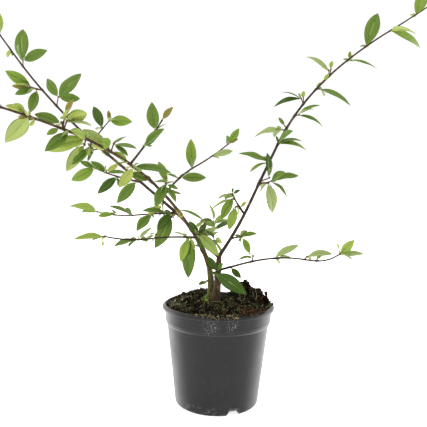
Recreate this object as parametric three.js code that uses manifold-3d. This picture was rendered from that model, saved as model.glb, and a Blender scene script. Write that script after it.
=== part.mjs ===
// A willowleaf cotoneaster in its plastic nursery pot: two stems, three long arching boughs and thin side
// twigs that carry narrow leaves on short spurs.
// Millimetres, +Z up. The origin is at the centre of the pot's underside and the viewer stands towards -Y.
import * as THREE from 'three'
import { mergeVertices } from 'three/addons/utils/BufferGeometryUtils.js'
import Module from 'manifold-3d'

const wasm = await Module()
wasm.setup()

// Clearance kept between pieces that touch on the real plant
const GAP = 0.3

// Pot: a standard round nursery pot, 130 mm across its rim
const RIM_RADIUS = 65
const POT_HEIGHT = 115.7
const WALL = 1.6
const BASE_RADIUS = 48.4
const BASE_FILLET = 3
const FOOT_INNER_RADIUS = 42
const FLOOR_LIFT = 6.5
const PAD_RADIUS = 20
const PAD_SLOPE = 3
const SHOULDER_HEIGHT = 93.3
const SHOULDER_RADIUS = 59
const BAND_RADIUS = 61.8
const LIP_BOTTOM = 108.6
const RIM_INNER_RADIUS = 60.5
const POT_SEGMENTS = 48
const NOTCH_COUNT = 3
const NOTCH_ANGLE = -67
const NOTCH_WIDTH = 17
const NOTCH_TOP_WIDTH = 11
const NOTCH_HEIGHT = 6
const NOTCH_DEPTH = 16
const DRAIN_COUNT = 6
const DRAIN_RADIUS = 3.5
const DRAIN_CIRCLE = 32

// Soil: level a little under the rim, heaped round the stems and behind them on the right
const SOIL_EDGE_HEIGHT = 111.5
const SOIL_TOP = 118
const SOIL_FLAT_RADIUS = 17
const HEAPS = [
  { x: 31, y: 36, height: 18, radius: 15 },
  { x: 50, y: 21, height: 15, radius: 13 },
  { x: -22, y: 38, height: 7, radius: 16 },
  { x: -42, y: 18, height: 5, radius: 14 }
]
const SOIL_SEGMENTS = 40

// Wood: how finely limbs are cut into rings, and how many sides they have
const RING_STEP = 14
const LIMB_SIDES = 8
const SHOOT_SIDES = 4
const TWIG_SIDES = 3
const STALK_RADIUS = 0.6
const SHORTEST_STALK = 3.5
const FLARE_HEIGHT = 9

// Leaves: share along the leaf and share of its greatest half width, for each ring from tip to root
const LEAF_RINGS = [[1, 0], [0.74, 0.76], [0.42, 1], [0.13, 0.28], [0, 0]]
const LEAF_SLIMNESS = 0.19
const LEAF_FOLD = 0.15
const LEAF_KEEL = 0.4
const LEAF_SINK = 1
const SMALL_LEAF = 15

// The seeded rule: how far leaves stray from the directions of their bud
const TURN_SPREAD = 6
const TILT_SPREAD = 24
const FACE_SPREAD = 12
const SIZE_SPREAD = 0.08
const NEXT_LEAF_SHRINK = 0.2
const FILL_TURN = 70
const FILL_FACE = 70
const FILL_TILT = 62
const FILL_SIZE = 0.8
const FILL_SIZE_SPREAD = 0.1
const LEAF_CLEARANCE = 4.5
const WOOD_CLEARANCE = 1.2
const POT_CLEARANCE = 2

// Bare wood. heading is the compass bearing in plan, 0 to the right and 90 away from the viewer, and rise is the
// climb above level. Both are in degrees, at equal steps along the limb. radius is at the foot and at the tip.
// bare is the share of a bough that is wood alone, and its leaves follow from there.
const LIMBS = {
  trunk: { start: [-3.7, 0], heading: [0, 0], rise: [80, 89, 87], length: 53, radius: [4.6, 2.9], flare: 1.2 },
  left_stem: {
    start: [-8.4, 6.5], heading: [180, 171, 168, 167, 165], rise: [89, 85, 63, 57, 41], length: 109,
    radius: [4.5, 1.9], flare: 0.6
  },
  right_bough: {
    from: ['trunk', 1], heading: [23, 31, 34, 24, 20, 18, 18, 20], rise: [53, 62, 60, 48, 38, 32, 34, 33],
    length: 524, radius: [2, 0.8], bare: 0.17
  },
  left_bough: {
    from: ['trunk', 0.99], heading: [-149, -139, -142, -137, -134, -133, -133, -134],
    rise: [32, 51, 40, 26, 16, 12, 8, 2], length: 409, radius: [2.2, 0.9], bare: 0.29
  },
  upper_left_bough: {
    from: ['left_stem', 1], heading: [159, 157, 156, 155, 156, 156, 157, 158],
    rise: [36, 35, 34, 39, 43, 48, 48, 46], length: 453, radius: [1.9, 0.85], bare: 0.17
  }
}

// Masses of leaves. A mass follows a bough's bare wood or starts from a limb. tilt is how far its leaves lean away
// from the viewer and droop how far each leaf arches. A row of buds holds: share along the stem, stalk length,
// stalk angle, leaf length, facing, then the angle of each leaf. Angles are as the viewer sees them, 0 to the right
// and 90 up. facing turns the blade: 0 shows its top, 90 its edge with the top upwards and 180 its underside.
const MASSES = {
  right_bough_leaves: {
    follows: 'right_bough', seed: 39, tilt: 8, droop: 38, buds: [
      [0.18, 2, 190, 12, 20, 190], [0.187, 16, 14, 35, 70, 9, -48], [0.19, 11, 0, 42, 20, -80],
      [0.195, 12, 20, 31, 40, 100], [0.244, 3, 160, 36, 70, 168, 208], [0.294, 3, 20, 41, 70, -14, 12],
      [0.294, 2, 100, 10, 20, 100], [0.332, 4, 170, 34, 62, 200], [0.338, 4, 130, 13, 30, 130],
      [0.374, 6, 20, 38, 70, -26, 18], [0.412, 8, 110, 35, 68, 200, 164], [0.412, 7, 90, 12, 20, 80],
      [0.462, 4, 10, 42, 62, -29], [0.489, 1, 60, 13, 30, 60, 215], [0.511, 7, 95, 38, 55, 145],
      [0.513, 8, 80, 14, 20, 80], [0.576, 2, 0, 41, 66, -18], [0.58, 2, 85, 10, 10, 85],
      [0.637, 2, 70, 50, 10, 66], [0.718, 2, -10, 52, 38, -14], [0.802, 2, 80, 40, 20, 62],
      [0.86, 2, -10, 40, 60, -22], [0.905, 3, 90, 34, 30, 92], [0.95, 3, 0, 30, 50, -6],
      [1, 0, 30, 27, 25, 30, 62, 0]
    ]
  },
  upper_left_bough_leaves: {
    follows: 'upper_left_bough', seed: 150, tilt: 0, droop: 22, buds: [
      [0.18, 1, 0, 27, 30, -30], [0.225, 1, 210, 17, 160, 207], [0.3, 1, -30, 17, 20, -38],
      [0.3, 9, 190, 20, 30, 190, 235, 140], [0.456, 2, 60, 24, 20, 55], [0.452, 2, 20, 28, 40, 5],
      [0.496, 12, 80, 45, 12, 58, 128, 3], [0.566, 17, 165, 37, 15, 150], [0.566, 19, 170, 20, 30, 183],
      [0.566, 11, 172, 27, 15, 205], [0.566, 8, 175, 30, 5, 262], [0.668, 8, 88, 46, 5, 93, 17],
      [0.74, 3, 240, 12, 150, 240], [0.8, 3, 95, 36, 15, 98], [0.845, 3, 180, 36, 30, 192],
      [0.885, 4, 80, 33, 20, 96, 40], [0.925, 3, 190, 32, 25, 200], [0.965, 3, 90, 28, 20, 82],
      [1, 0, 130, 27, 20, 132, 166, 98]
    ],
    twigs: [{
      share: 0.335, heading: [36, 38], rise: [52, 48], length: 36, radius: [0.7, 0.5], buds: [
        [0.6, 1, 110, 34, 20, 116], [1, 1, 45, 34, 15, -3], [1, 1, 80, 14, 20, 92]
      ]
    }]
  },
  left_bough_leaves: {
    follows: 'left_bough', seed: 33, tilt: -6, droop: 24, buds: [
      [0.312, 2, 200, 21, 25, 160], [0.374, 2, 30, 38, 62, -6], [0.372, 2, 240, 25, 168, 230],
      [0.39, 1, 130, 18, 40, 140], [0.447, 9, 70, 28, 62, -10, -35], [0.45, 4, 110, 33, 165, 145],
      [0.455, 3, 160, 19, 160, 158], [0.519, 3, 215, 33, 15, 198], [0.521, 6, 262, 31, 165, 240],
      [0.505, 7, 262, 26, 20, 222], [0.526, 2, 215, 35, 160, 203],
      [0.565, 2, 220, 28, 10, 224], [0.583, 6, 95, 26, 30, 158], [0.583, 9, 80, 24, 165, 10],
      [0.58, 8, 70, 27, 75, -12], [0.59, 1, 200, 14, 20, 210], [0.665, 2, 230, 36, 165, 225],
      [0.665, 3, 140, 19, 60, 150], [0.65, 2, 240, 9, 150, 240], [0.675, 4, 130, 19, 160, 165],
      [0.73, 3, 120, 32, 20, 130], [0.76, 3, 240, 34, 30, 235], [0.8, 3, 110, 32, 25, 120],
      [0.84, 3, 240, 32, 20, 225], [0.88, 3, 120, 30, 30, 130], [0.92, 3, 240, 30, 25, 230],
      [0.96, 3, 120, 26, 20, 140], [1, 0, 180, 26, 20, 175, 148, 205]
    ],
    twigs: [{
      share: 0.385, heading: [30, 42], rise: [50, 54], length: 60, radius: [0.9, 0.6], buds: [
        [0.75, 1, 90, 28, 10, 91], [0.4, 1, 30, 29, 25, 36], [1, 1, 50, 20, 20, 43]
      ]
    }]
  },
  inner_twig_leaves: {
    from: ['left_bough', 0.256], heading: [60, 51, 47], rise: [38, 22, 31], length: 126, radius: [1, 0.6],
    seed: 169, tilt: 0, droop: 18, buds: [
      [0.05, 1, 0, 15, 70, -12], [0.25, 1, 150, 15, 70, 155], [0.26, 1, 10, 29, 25, 4], [0.44, 2, 90, 32, 5, 91],
      [0.745, 1, 30, 24, 25, 17], [1, 2, 50, 25, 5, 54], [1, 2, 0, 15, 30, 33]
    ]
  },
  low_left_twig_leaves: {
    from: ['upper_left_bough', 0.145], heading: [152, 154], rise: [6, 19], length: 72, radius: [0.9, 0.6],
    seed: 31, tilt: 0, droop: 18, buds: [
      [0.08, 1, 240, 34, 10, 235], [0.5, 1, 230, 31, 10, 228], [0.72, 1, 120, 24, 30, 138],
      [0.74, 1, 60, 24, 60, 6], [1, 1, 200, 33, 10, 210], [1, 1, 160, 20, 30, 160]
    ]
  },
  left_level_twig_leaves: {
    from: ['upper_left_bough', 0.012], heading: [148, 151, 153], rise: [-5, -7, 9], length: 124, radius: [1, 0.6],
    seed: 18, tilt: 0, droop: 30, buds: [
      [0.05, 5, 262, 44, 10, 239], [0.05, 1, 225, 26, 20, 229], [0.12, 3, 120, 29, 62, 170],
      [0.16, 11, 92, 24, 165, 214], [0.3, 1, 236, 27, 10, 234], [0.545, 3, 130, 32, 62, 163],
      [0.762, 1, 180, 24, 30, 182], [1, 1, 160, 42, 65, 172]
    ]
  },
  left_front_twig_leaves: {
    from: ['left_stem', 0.7], heading: [-142, -139, -138], rise: [7, -2, 14], length: 122, radius: [1, 0.6],
    seed: 171, tilt: 0, droop: 30, buds: [
      [0.06, 2, 270, 44, 10, 264], [0.08, 1, 250, 31, 15, 252], [0.11, 1, 120, 17, 70, 163],
      [0.47, 5, 75, 17, 60, 214], [0.645, 1, 60, 20, 50, 40], [0.65, 1, 220, 27, 60, 202],
      [1, 1, 180, 34, 60, 180], [1, 1, 210, 14, 70, 203]
    ]
  },
  low_right_twig_leaves: {
    from: ['trunk', 0.68], heading: [-28, -36, -41, -47, -53], rise: [20, 18, 9, -1, 34], length: 164,
    radius: [1.1, 0.6], seed: 39, tilt: 0, droop: 30, buds: [
      [0.1, 2, -40, 19, 12, -46], [0.285, 7, 75, 18, 60, 196], [0.47, 3, 60, 31, 60, 24],
      [0.49, 2, 40, 15, 70, 5], [0.71, 4, 50, 30, 62, 10], [0.8, 2, 60, 11, 60, 40], [1, 1, 50, 22, 25, 56],
      [1, 1, 10, 24, 72, 0]
    ]
  },
  right_foot_twig_leaves: {
    from: ['right_bough', 0.046], heading: [-20, -24], rise: [16, 10], length: 15, radius: [0.7, 0.5],
    seed: 224, tilt: -10, droop: 40, buds: [
      [0.8, 1, 30, 20, 60, 12], [1, 1, -40, 22, 20, -64], [1, 1, 150, 10, 50, 165]
    ]
  },
  right_inner_twig_leaves: {
    from: ['right_bough', 0.11], heading: [172, 168], rise: [52, 62], length: 28, radius: [0.9, 0.6],
    seed: 170, tilt: 0, droop: 40, buds: [
      [0.42, 4, 195, 27, 15, 251], [0.82, 1, 230, 28, 20, 235], [0.75, 1, 200, 34, 76, 206],
      [1, 1, 180, 17, 65, 200], [1, 1, 60, 12, 40, 35], [0.3, 1, 50, 12, 160, 50]
    ]
  },
  fork_twig_leaves: {
    from: ['left_bough', 0.1], heading: [-70, -90], rise: [10, 30], length: 16, radius: [0.8, 0.6],
    seed: 2, tilt: -12, droop: 30, buds: [
      [0.9, 1, 0, 34, 168, -43], [0.5, 1, 118, 18, 20, 122], [0.8, 1, 60, 16, 20, 52], [0.6, 1, 20, 26, 66, 14],
      [0.7, 8, 50, 20, 76, -30], [0.95, 16, 58, 31, 74, 158], [0.4, 1, -60, 18, 40, -75]
    ]
  },
  bough_side_twig_leaves: {
    from: ['left_bough', 0.262], heading: [-50, -70], rise: [60, 52], length: 14, radius: [0.8, 0.6],
    seed: 115, tilt: -10, droop: 30, buds: [
      [1, 1, 240, 27, 12, 247], [1, 1, 110, 23, 30, 118], [0.8, 1, -10, 17, 50, -14], [0.7, 1, -50, 22, 55, -55]
    ]
  },
  back_twig_leaves: {
    from: ['trunk', 0.86], heading: [100, 88], rise: [24, 10], length: 125, radius: [0.8, 0.45],
    seed: 8, tilt: 45, droop: 30, buds: [
      [0.3, 1, 190, 28, 60, 190], [0.42, 1, -10, 26, 60, -20], [0.54, 1, 160, 30, 60, 160],
      [0.66, 1, 20, 28, 60, 25], [0.78, 1, 160, 30, 60, 165], [0.9, 1, 0, 28, 60, 10],
      [1, 1, 90, 28, 60, 110], [1, 1, 180, 26, 60, 180]
    ]
  },
  foot_leaves: {
    from: ['trunk', 0.66], heading: [-102, -102], rise: [6, -4], length: 14, radius: [0.8, 0.6],
    seed: 9, tilt: -12, droop: 24, buds: [
      [1, 1, -20, 48, 6, -25], [0.5, 1, 130, 20, 25, 128], [0.3, 1, 55, 16, 40, 58]
    ]
  },
  stem_foot_leaves: {
    from: ['left_stem', 0.2], heading: [-165, -165], rise: [10, 0], length: 5, radius: [0.7, 0.5],
    seed: 64, tilt: -5, droop: 24, buds: [[1, 1, 200, 12, 30, 208], [0.8, 1, 150, 9, 40, 150]]
  }
}

const radians = THREE.MathUtils.degToRad

// A stream of even numbers from 0 to 1 that is the same on every run.
function seeded(seed) {
  let state = seed
  return () => {
    state = (state * 1664525 + 1013904223) % 4294967296
    return state / 4294967296
  }
}

// A value read off a row of keys that stand at equal steps from 0 to 1.
function keyed(keys, share) {
  const place = share * (keys.length - 1)
  const index = Math.min(Math.floor(place), keys.length - 2)
  return keys[index] + (keys[index + 1] - keys[index]) * (place - index)
}

// The middle line of a limb or twig, grown ring by ring from its foot.
function grow(shoot, foot) {
  const rings = Math.max(3, Math.round(shoot.length / RING_STEP))
  const run = [foot.clone()]
  for (let ring = 0; ring < rings; ring++) {
    const share = (ring + 0.5) / rings
    const heading = radians(keyed(shoot.heading, share))
    const rise = radians(keyed(shoot.rise, share))
    const level = Math.cos(rise)
    const step = new THREE.Vector3(level * Math.cos(heading), level * Math.sin(heading), Math.sin(rise))
    run.push(run[ring].clone().addScaledVector(step, shoot.length / rings))
  }
  return run
}

// The place at a share of a run.
function along(run, share) {
  const place = share * (run.length - 1)
  const index = Math.min(Math.floor(place), run.length - 2)
  return run[index].clone().lerp(run[index + 1], place - index)
}

// The stretch of a run between two shares.
function stretch(run, from, to) {
  const last = run.length - 1
  const inside = run.filter((_, index) => index / last > from + 1e-6 && index / last < to - 1e-6)
  return [along(run, from), ...inside, along(run, to)]
}

// A direction given as the viewer sees it, with its lean away from the viewer.
function aim(angle, tilt) {
  const turn = radians(angle)
  const lean = radians(tilt)
  return new THREE.Vector3(Math.cos(lean) * Math.cos(turn), Math.sin(lean), Math.cos(lean) * Math.sin(turn))
}

// The way a blade's top looks, for a leaf that points along a direction.
function bladeTop(direction, facing) {
  const front = new THREE.Vector3(0, -1, 0)
  front.addScaledVector(direction, -front.dot(direction)).normalize()
  const side = new THREE.Vector3().crossVectors(direction, front)
  if (side.z < 0) side.negate()
  const turn = radians(facing)
  return front.multiplyScalar(Math.cos(turn)).addScaledVector(side, Math.sin(turn))
}

// A point of a leaf: share from its root to its tip, across from -1 to 1 in half widths.
function leafPoint(leaf, share, across, width) {
  const side = new THREE.Vector3().crossVectors(leaf.direction, leaf.top)
  const arch = Math.sin(radians(leaf.droop) / 2) * share * (1 - share) * leaf.length
  const half = width * leaf.length * LEAF_SLIMNESS
  return leaf.root.clone()
    .addScaledVector(leaf.direction, leaf.length * share)
    .addScaledVector(leaf.top, arch + Math.abs(across) * half * LEAF_FOLD)
    .addScaledVector(side, across * half)
}

// One bud: its stalk and its leaves, with one more leaf in depth where the leaves are large.
function openBud(run, bud, next, mass, away) {
  const [share, stalk, stalkAngle, size, facing, ...angles] = bud
  const foot = along(run, Math.min(share, 1 - LEAF_SINK / (RING_STEP * run.length)))
  const stalkWay = aim(stalkAngle, mass.tilt)
  const hasStalk = stalk > SHORTEST_STALK
  const tip = hasStalk ? foot.clone().addScaledVector(stalkWay, stalk) : foot
  const leaves = []
  const addLeaf = (angle, tilt, face, length) => {
    const direction = aim(angle, tilt)
    const root = hasStalk ? tip.clone().addScaledVector(stalkWay, -LEAF_SINK) : foot
    leaves.push({ root, direction, top: bladeTop(direction, face), length, droop: mass.droop })
  }
  const stray = spread => spread * (2 * next() - 1)
  angles.forEach((angle, index) => {
    const tilt = mass.tilt + stray(TILT_SPREAD)
    const turn = angle + stray(TURN_SPREAD)
    const face = facing + stray(FACE_SPREAD)
    addLeaf(turn, tilt, face, size * (1 - NEXT_LEAF_SHRINK * index) * (1 + stray(SIZE_SPREAD)))
  })
  if (size > SMALL_LEAF) {
    const turn = angles[0] + stray(FILL_TURN)
    const face = FILL_FACE + stray(TILT_SPREAD)
    addLeaf(turn, mass.tilt + (away ? FILL_TILT : -FILL_TILT), face, size * (FILL_SIZE + stray(FILL_SIZE_SPREAD)))
  }
  return { foot, tip, leaves }
}

// Wood that leaves keep clear of, and points of the leaves that other masses have placed.
const wood = []
const placed = []

// Points that stand for a leaf when it is tested against its neighbours.
function leafProbes(leaf) {
  const probes = []
  for (const share of [0.25, 0.37, 0.49, 0.61, 0.73, 0.86, 1]) {
    for (const across of share < 1 ? [-0.8, 0, 0.8] : [0]) {
      probes.push(leafPoint(leaf, share, across, share > 0.8 ? 0.5 : 1))
    }
  }
  return probes
}

const segment = new THREE.Line3()
const nearest = new THREE.Vector3()

// Whether any of a leaf's points touches another mass, a limb of another mass, the soil or the pot.
function isBlocked(probes, owner) {
  const touchesWood = probe => wood.some(({ node, run, radius }) => node !== owner && run.some((start, index) => {
    if (index === run.length - 1) return false
    segment.set(start, run[index + 1]).closestPointToPoint(probe, true, nearest)
    return nearest.distanceTo(probe) < radius + WOOD_CLEARANCE
  }))
  const touchesLeaf = probe => placed.some(other => {
    return other.owner !== owner && other.point.distanceTo(probe) < LEAF_CLEARANCE
  })
  const touchesPot = probe => {
    return probe.z < SOIL_TOP + POT_CLEARANCE && Math.hypot(probe.x, probe.y) < RIM_RADIUS + POT_CLEARANCE
  }
  return probes.some(probe => touchesPot(probe) || touchesWood(probe) || touchesLeaf(probe))
}

// Moves every vertex of a form to where place() puts it.
function reshape(form, place) {
  const position = form.getAttribute('position')
  for (let index = 0; index < position.count; index++) {
    const moved = place(position.getX(index), position.getY(index), position.getZ(index))
    position.setXYZ(index, moved.x, moved.y, moved.z)
  }
  return form
}

// A closed form as a solid that can be joined and cut.
function solidOf(form) {
  form.deleteAttribute('normal')
  form.deleteAttribute('uv')
  const merged = mergeVertices(form, 1e-4)
  return new wasm.Manifold(new wasm.Mesh({
    numProp: 3,
    vertProperties: new Float32Array(merged.getAttribute('position').array),
    triVerts: new Uint32Array(merged.index.array)
  }))
}

// A solid as the geometry of a mesh. Only the shell with the most triangles is kept, so a loose scrap is dropped
// and a hollow that joining sealed is filled.
function geometryOf(solid) {
  const mesh = solid.getMesh()
  const leader = Array.from({ length: mesh.numVert }, (_, vertex) => vertex)
  const shellOf = vertex => {
    while (leader[vertex] !== vertex) vertex = leader[vertex] = leader[leader[vertex]]
    return vertex
  }
  const corners = mesh.triVerts
  for (let corner = 0; corner < corners.length; corner += 3) {
    leader[shellOf(corners[corner + 1])] = shellOf(corners[corner])
    leader[shellOf(corners[corner + 2])] = shellOf(corners[corner])
  }
  const sizes = new Map()
  for (const corner of corners) sizes.set(shellOf(corner), (sizes.get(shellOf(corner)) ?? 0) + 1)
  const [largest] = [...sizes].reduce((most, shell) => shell[1] > most[1] ? shell : most)
  const geometry = new THREE.BufferGeometry()
  geometry.setAttribute('position', new THREE.BufferAttribute(mesh.vertProperties, 3))
  geometry.setIndex(Array.from(corners).filter(corner => shellOf(corner) === largest))
  return geometry
}

// A tapering limb: a many-sided cylinder bent along a run. swell makes it thicker and longer all round.
function limbSolid(run, radiusAt, sides, { swell = 0, flatFoot = false } = {}) {
  const last = run.length - 1
  const frames = []
  let side = new THREE.Vector3(0, 1, 0)
  run.forEach((centre, ring) => {
    const tangent = run[Math.min(ring + 1, last)].clone().sub(run[Math.max(ring - 1, 0)]).normalize()
    side = side.clone().addScaledVector(tangent, -side.dot(tangent)).normalize()
    const other = new THREE.Vector3().crossVectors(side, tangent)
    const reach = ring === 0 ? -swell : ring === last ? swell : 0
    frames.push({ centre: centre.clone().addScaledVector(tangent, reach), side, other })
  })
  const form = new THREE.CylinderGeometry(1, 1, 1, sides, last)
  return solidOf(reshape(form, (x, y, z) => {
    const ring = Math.round((y + 0.5) * last)
    const { centre, side, other } = frames[ring]
    const radius = radiusAt(ring / last) + swell
    const point = centre.clone().addScaledVector(side, x * radius).addScaledVector(other, z * radius)
    if (flatFoot && ring === 0) point.z = centre.z
    return point
  }))
}

// A blade: a sphere of three sides, two of them its edges and the third its keel, drawn out to the leaf's outline.
function leafSolid(leaf) {
  const bands = LEAF_RINGS.length - 1
  return solidOf(reshape(new THREE.SphereGeometry(1, 3, bands), (x, y, z) => {
    const [share, width] = LEAF_RINGS[Math.round(Math.acos(y) / Math.PI * bands)]
    const edge = -Math.sign(Math.round(z * 100))
    return leafPoint(leaf, share, edge, width).addScaledVector(leaf.top, width && !edge ? -LEAF_KEEL : 0)
  }))
}

const colours = {
  pot: { color: 0x3d3e40, roughness: 0.5 },
  soil: { color: 0x241a12, roughness: 1 },
  trunk: { color: 0x5b4a33, roughness: 0.8 },
  left_stem: { color: 0x5f6034, roughness: 0.75 },
  bough: { color: 0x4c3026, roughness: 0.7 },
  leaves: { color: 0x557f33, roughness: 0.55 }
}

const plant = new THREE.Group()

function addPiece(name, solid, look) {
  const material = new THREE.MeshStandardMaterial({ metalness: 0, ...colours[look] })
  const mesh = new THREE.Mesh(geometryOf(solid), material)
  mesh.name = name
  plant.add(mesh)
}

// A profile of [radius, height] turned about the pot's upright axis.
function turned(profile, segments) {
  const section = profile.map(([radius, height]) => new THREE.Vector2(radius, height))
  const form = new THREE.LatheGeometry(section, segments)
  return form.rotateX(Math.PI / 2)
}

// Half the section of the pot's inside, from the middle of its floor to the top of the soil's edge.
function insideProfile(inset) {
  const floor = FLOOR_LIFT + WALL + inset
  const lean = (SHOULDER_RADIUS - BASE_RADIUS) / SHOULDER_HEIGHT
  const wallAt = height => BASE_RADIUS + lean * height - WALL - inset
  return [
    [0, WALL + inset], [PAD_RADIUS - WALL - inset, WALL + inset], [PAD_RADIUS + PAD_SLOPE - WALL - inset, floor],
    [wallAt(floor), floor], [wallAt(SHOULDER_HEIGHT), SHOULDER_HEIGHT],
    [RIM_INNER_RADIUS - inset - 0.4, SHOULDER_HEIGHT + 9], [RIM_INNER_RADIUS - inset, SOIL_EDGE_HEIGHT]
  ]
}

function potSolid() {
  const fillet = [0, 1, 2, 3].map(step => {
    const turn = radians(30 * step)
    return [BASE_RADIUS - BASE_FILLET * (1 - Math.sin(turn)), BASE_FILLET * (1 - Math.cos(turn))]
  })
  const outside = [
    [0, 0], [PAD_RADIUS, 0], [PAD_RADIUS + PAD_SLOPE, FLOOR_LIFT], [FOOT_INNER_RADIUS - 1.5, FLOOR_LIFT],
    [FOOT_INNER_RADIUS, 0], ...fillet,
    [SHOULDER_RADIUS, SHOULDER_HEIGHT], [SHOULDER_RADIUS + 1, SHOULDER_HEIGHT + 1.2],
    [BAND_RADIUS - 0.6, SHOULDER_HEIGHT + 5], [BAND_RADIUS, LIP_BOTTOM], [RIM_RADIUS - 0.9, LIP_BOTTOM + 0.6],
    [RIM_RADIUS, LIP_BOTTOM + 2.6], [RIM_RADIUS, LIP_BOTTOM + 4.4], [RIM_RADIUS - 1.1, POT_HEIGHT - 1.3],
    [RIM_RADIUS - 2.3, POT_HEIGHT - 0.9], [RIM_RADIUS - 3, POT_HEIGHT - 0.1], [RIM_INNER_RADIUS + 0.6, POT_HEIGHT]
  ]
  const inside = insideProfile(0).reverse()
  let pot = solidOf(turned([...outside, ...inside], POT_SEGMENTS))
  const notch = new THREE.Shape([
    new THREE.Vector2(-NOTCH_WIDTH / 2, -1), new THREE.Vector2(NOTCH_WIDTH / 2, -1),
    new THREE.Vector2(NOTCH_WIDTH / 2, 0),
    new THREE.Vector2(NOTCH_TOP_WIDTH / 2, NOTCH_HEIGHT), new THREE.Vector2(-NOTCH_TOP_WIDTH / 2, NOTCH_HEIGHT),
    new THREE.Vector2(-NOTCH_WIDTH / 2, 0)
  ])
  for (let index = 0; index < NOTCH_COUNT; index++) {
    const cut = new THREE.ExtrudeGeometry(notch, { depth: NOTCH_DEPTH, bevelEnabled: false })
    cut.rotateX(Math.PI / 2).translate(0, FOOT_INNER_RADIUS + NOTCH_DEPTH - WALL * 2, 0)
    cut.rotateZ(radians(NOTCH_ANGLE + index * 360 / NOTCH_COUNT - 90))
    pot = pot.subtract(solidOf(cut))
  }
  for (let index = 0; index < DRAIN_COUNT; index++) {
    const turn = radians(index * 360 / DRAIN_COUNT)
    const drain = new THREE.CylinderGeometry(DRAIN_RADIUS, DRAIN_RADIUS, FLOOR_LIFT, 12)
    drain.rotateX(Math.PI / 2)
    drain.translate(DRAIN_CIRCLE * Math.cos(turn), DRAIN_CIRCLE * Math.sin(turn), FLOOR_LIFT + WALL / 2)
    pot = pot.subtract(solidOf(drain))
  }
  return pot
}

// The soil fills the pot to just under its rim. It is level where the stems stand.
function soilSolid() {
  const top = [[SOIL_FLAT_RADIUS, SOIL_TOP], [0, SOIL_TOP]]
  const slope = [0.88, 0.66, 0.44, 0.22].map(share => [
    SOIL_FLAT_RADIUS + share * (RIM_INNER_RADIUS - SOIL_FLAT_RADIUS),
    SOIL_TOP - share * share * (SOIL_TOP - SOIL_EDGE_HEIGHT)
  ])
  const form = turned([...insideProfile(GAP), ...slope, ...top], SOIL_SEGMENTS)
  return solidOf(reshape(form, (x, y, z) => {
    const radius = Math.hypot(x, y)
    const isSurface = z > SOIL_EDGE_HEIGHT + 0.1 && radius > SOIL_FLAT_RADIUS + 0.1
    if (!isSurface) return new THREE.Vector3(x, y, z)
    const heights = HEAPS.map(heap => {
      const gap = (x - heap.x) ** 2 + (y - heap.y) ** 2
      return heap.height * Math.exp(-gap / heap.radius ** 2)
    })
    return new THREE.Vector3(x, y, z + heights.reduce((sum, height) => sum + height))
  }))
}

addPiece('pot', potSolid(), 'pot')
addPiece('soil', soilSolid(), 'soil')

// Bare limbs. Each is cut clear of the limbs it grows from, which are kept a little swollen for that.
const runs = {}
const swollen = []

function clearOfLimbs(solid) {
  return swollen.reduce((rest, limb) => rest.subtract(limb), solid)
}

for (const [name, limb] of Object.entries(LIMBS)) {
  const foot = limb.start
    ? new THREE.Vector3(limb.start[0], limb.start[1], SOIL_TOP + GAP)
    : along(runs[limb.from[0]], limb.from[1])
  runs[name] = grow(limb, foot)
  const bare = limb.bare ?? 1
  const run = stretch(runs[name], 0, bare)
  const radiusAt = share => {
    const flare = (limb.flare ?? 0) * Math.exp(-share * limb.length / FLARE_HEIGHT)
    return limb.radius[0] + (limb.radius[1] - limb.radius[0]) * share * bare + flare
  }
  const piece = clearOfLimbs(limbSolid(run, radiusAt, LIMB_SIDES, { flatFoot: Boolean(limb.start) }))
  addPiece(name, piece, colours[name] ? name : 'bough')
  swollen.push(limbSolid(run, radiusAt, LIMB_SIDES, { swell: GAP, flatFoot: Boolean(limb.start) }))
  wood.push({ node: name, run, radius: limb.radius[0] })
}

// The stems of all masses stand before the first leaf, so that leaves keep clear of them.
const stems = {}
for (const [name, mass] of Object.entries(MASSES)) {
  if (mass.follows) {
    const bough = LIMBS[mass.follows]
    const from = bough.bare + GAP / bough.length
    const radiusAt = share => bough.radius[0] + (bough.radius[1] - bough.radius[0]) * (from + share * (1 - from))
    const shown = stretch(runs[mass.follows], from, 1)
    stems[name] = [{ run: runs[mass.follows], shown, radiusAt, sides: SHOOT_SIDES, buds: mass.buds }]
  } else {
    const run = grow(mass, along(runs[mass.from[0]], mass.from[1]))
    const radiusAt = share => keyed(mass.radius, share)
    stems[name] = [{ run, shown: run, radiusAt, sides: TWIG_SIDES, buds: mass.buds }]
  }
  for (const twig of mass.twigs ?? []) {
    const run = grow(twig, along(stems[name][0].run, twig.share))
    const radiusAt = share => keyed(twig.radius, share)
    stems[name].push({ run, shown: run, radiusAt, sides: TWIG_SIDES, buds: twig.buds })
  }
  for (const { shown, radiusAt } of stems[name]) wood.push({ node: name, run: shown, radius: radiusAt(0) })
}

for (const [name, mass] of Object.entries(MASSES)) {
  const next = seeded(mass.seed)
  let solid = null
  for (const { run, shown, radiusAt, sides, buds } of stems[name]) {
    const stem = limbSolid(shown, radiusAt, sides)
    solid = solid ? solid.add(stem) : clearOfLimbs(stem)
    buds.forEach((bud, index) => {
      const { foot, tip, leaves } = openBud(run, bud, next, mass, index % 2 === 0)
      const kept = leaves.filter(leaf => !isBlocked(leafProbes(leaf), name))
      if (!kept.length) return
      if (tip !== foot) {
        solid = solid.add(limbSolid([foot, tip], () => STALK_RADIUS, TWIG_SIDES))
        wood.push({ node: name, run: [foot, tip], radius: STALK_RADIUS })
      }
      for (const leaf of kept) {
        solid = solid.add(leafSolid(leaf))
        for (const point of leafProbes(leaf)) placed.push({ owner: name, point })
      }
    })
  }
  addPiece(name, solid, 'leaves')
}

export default plant
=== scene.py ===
from math import ceil, cos, exp, hypot, pi, radians, sin

import bmesh
import bpy
import numpy as np
from mathutils import Matrix, Vector, noise
from numpy.linalg import norm


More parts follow.
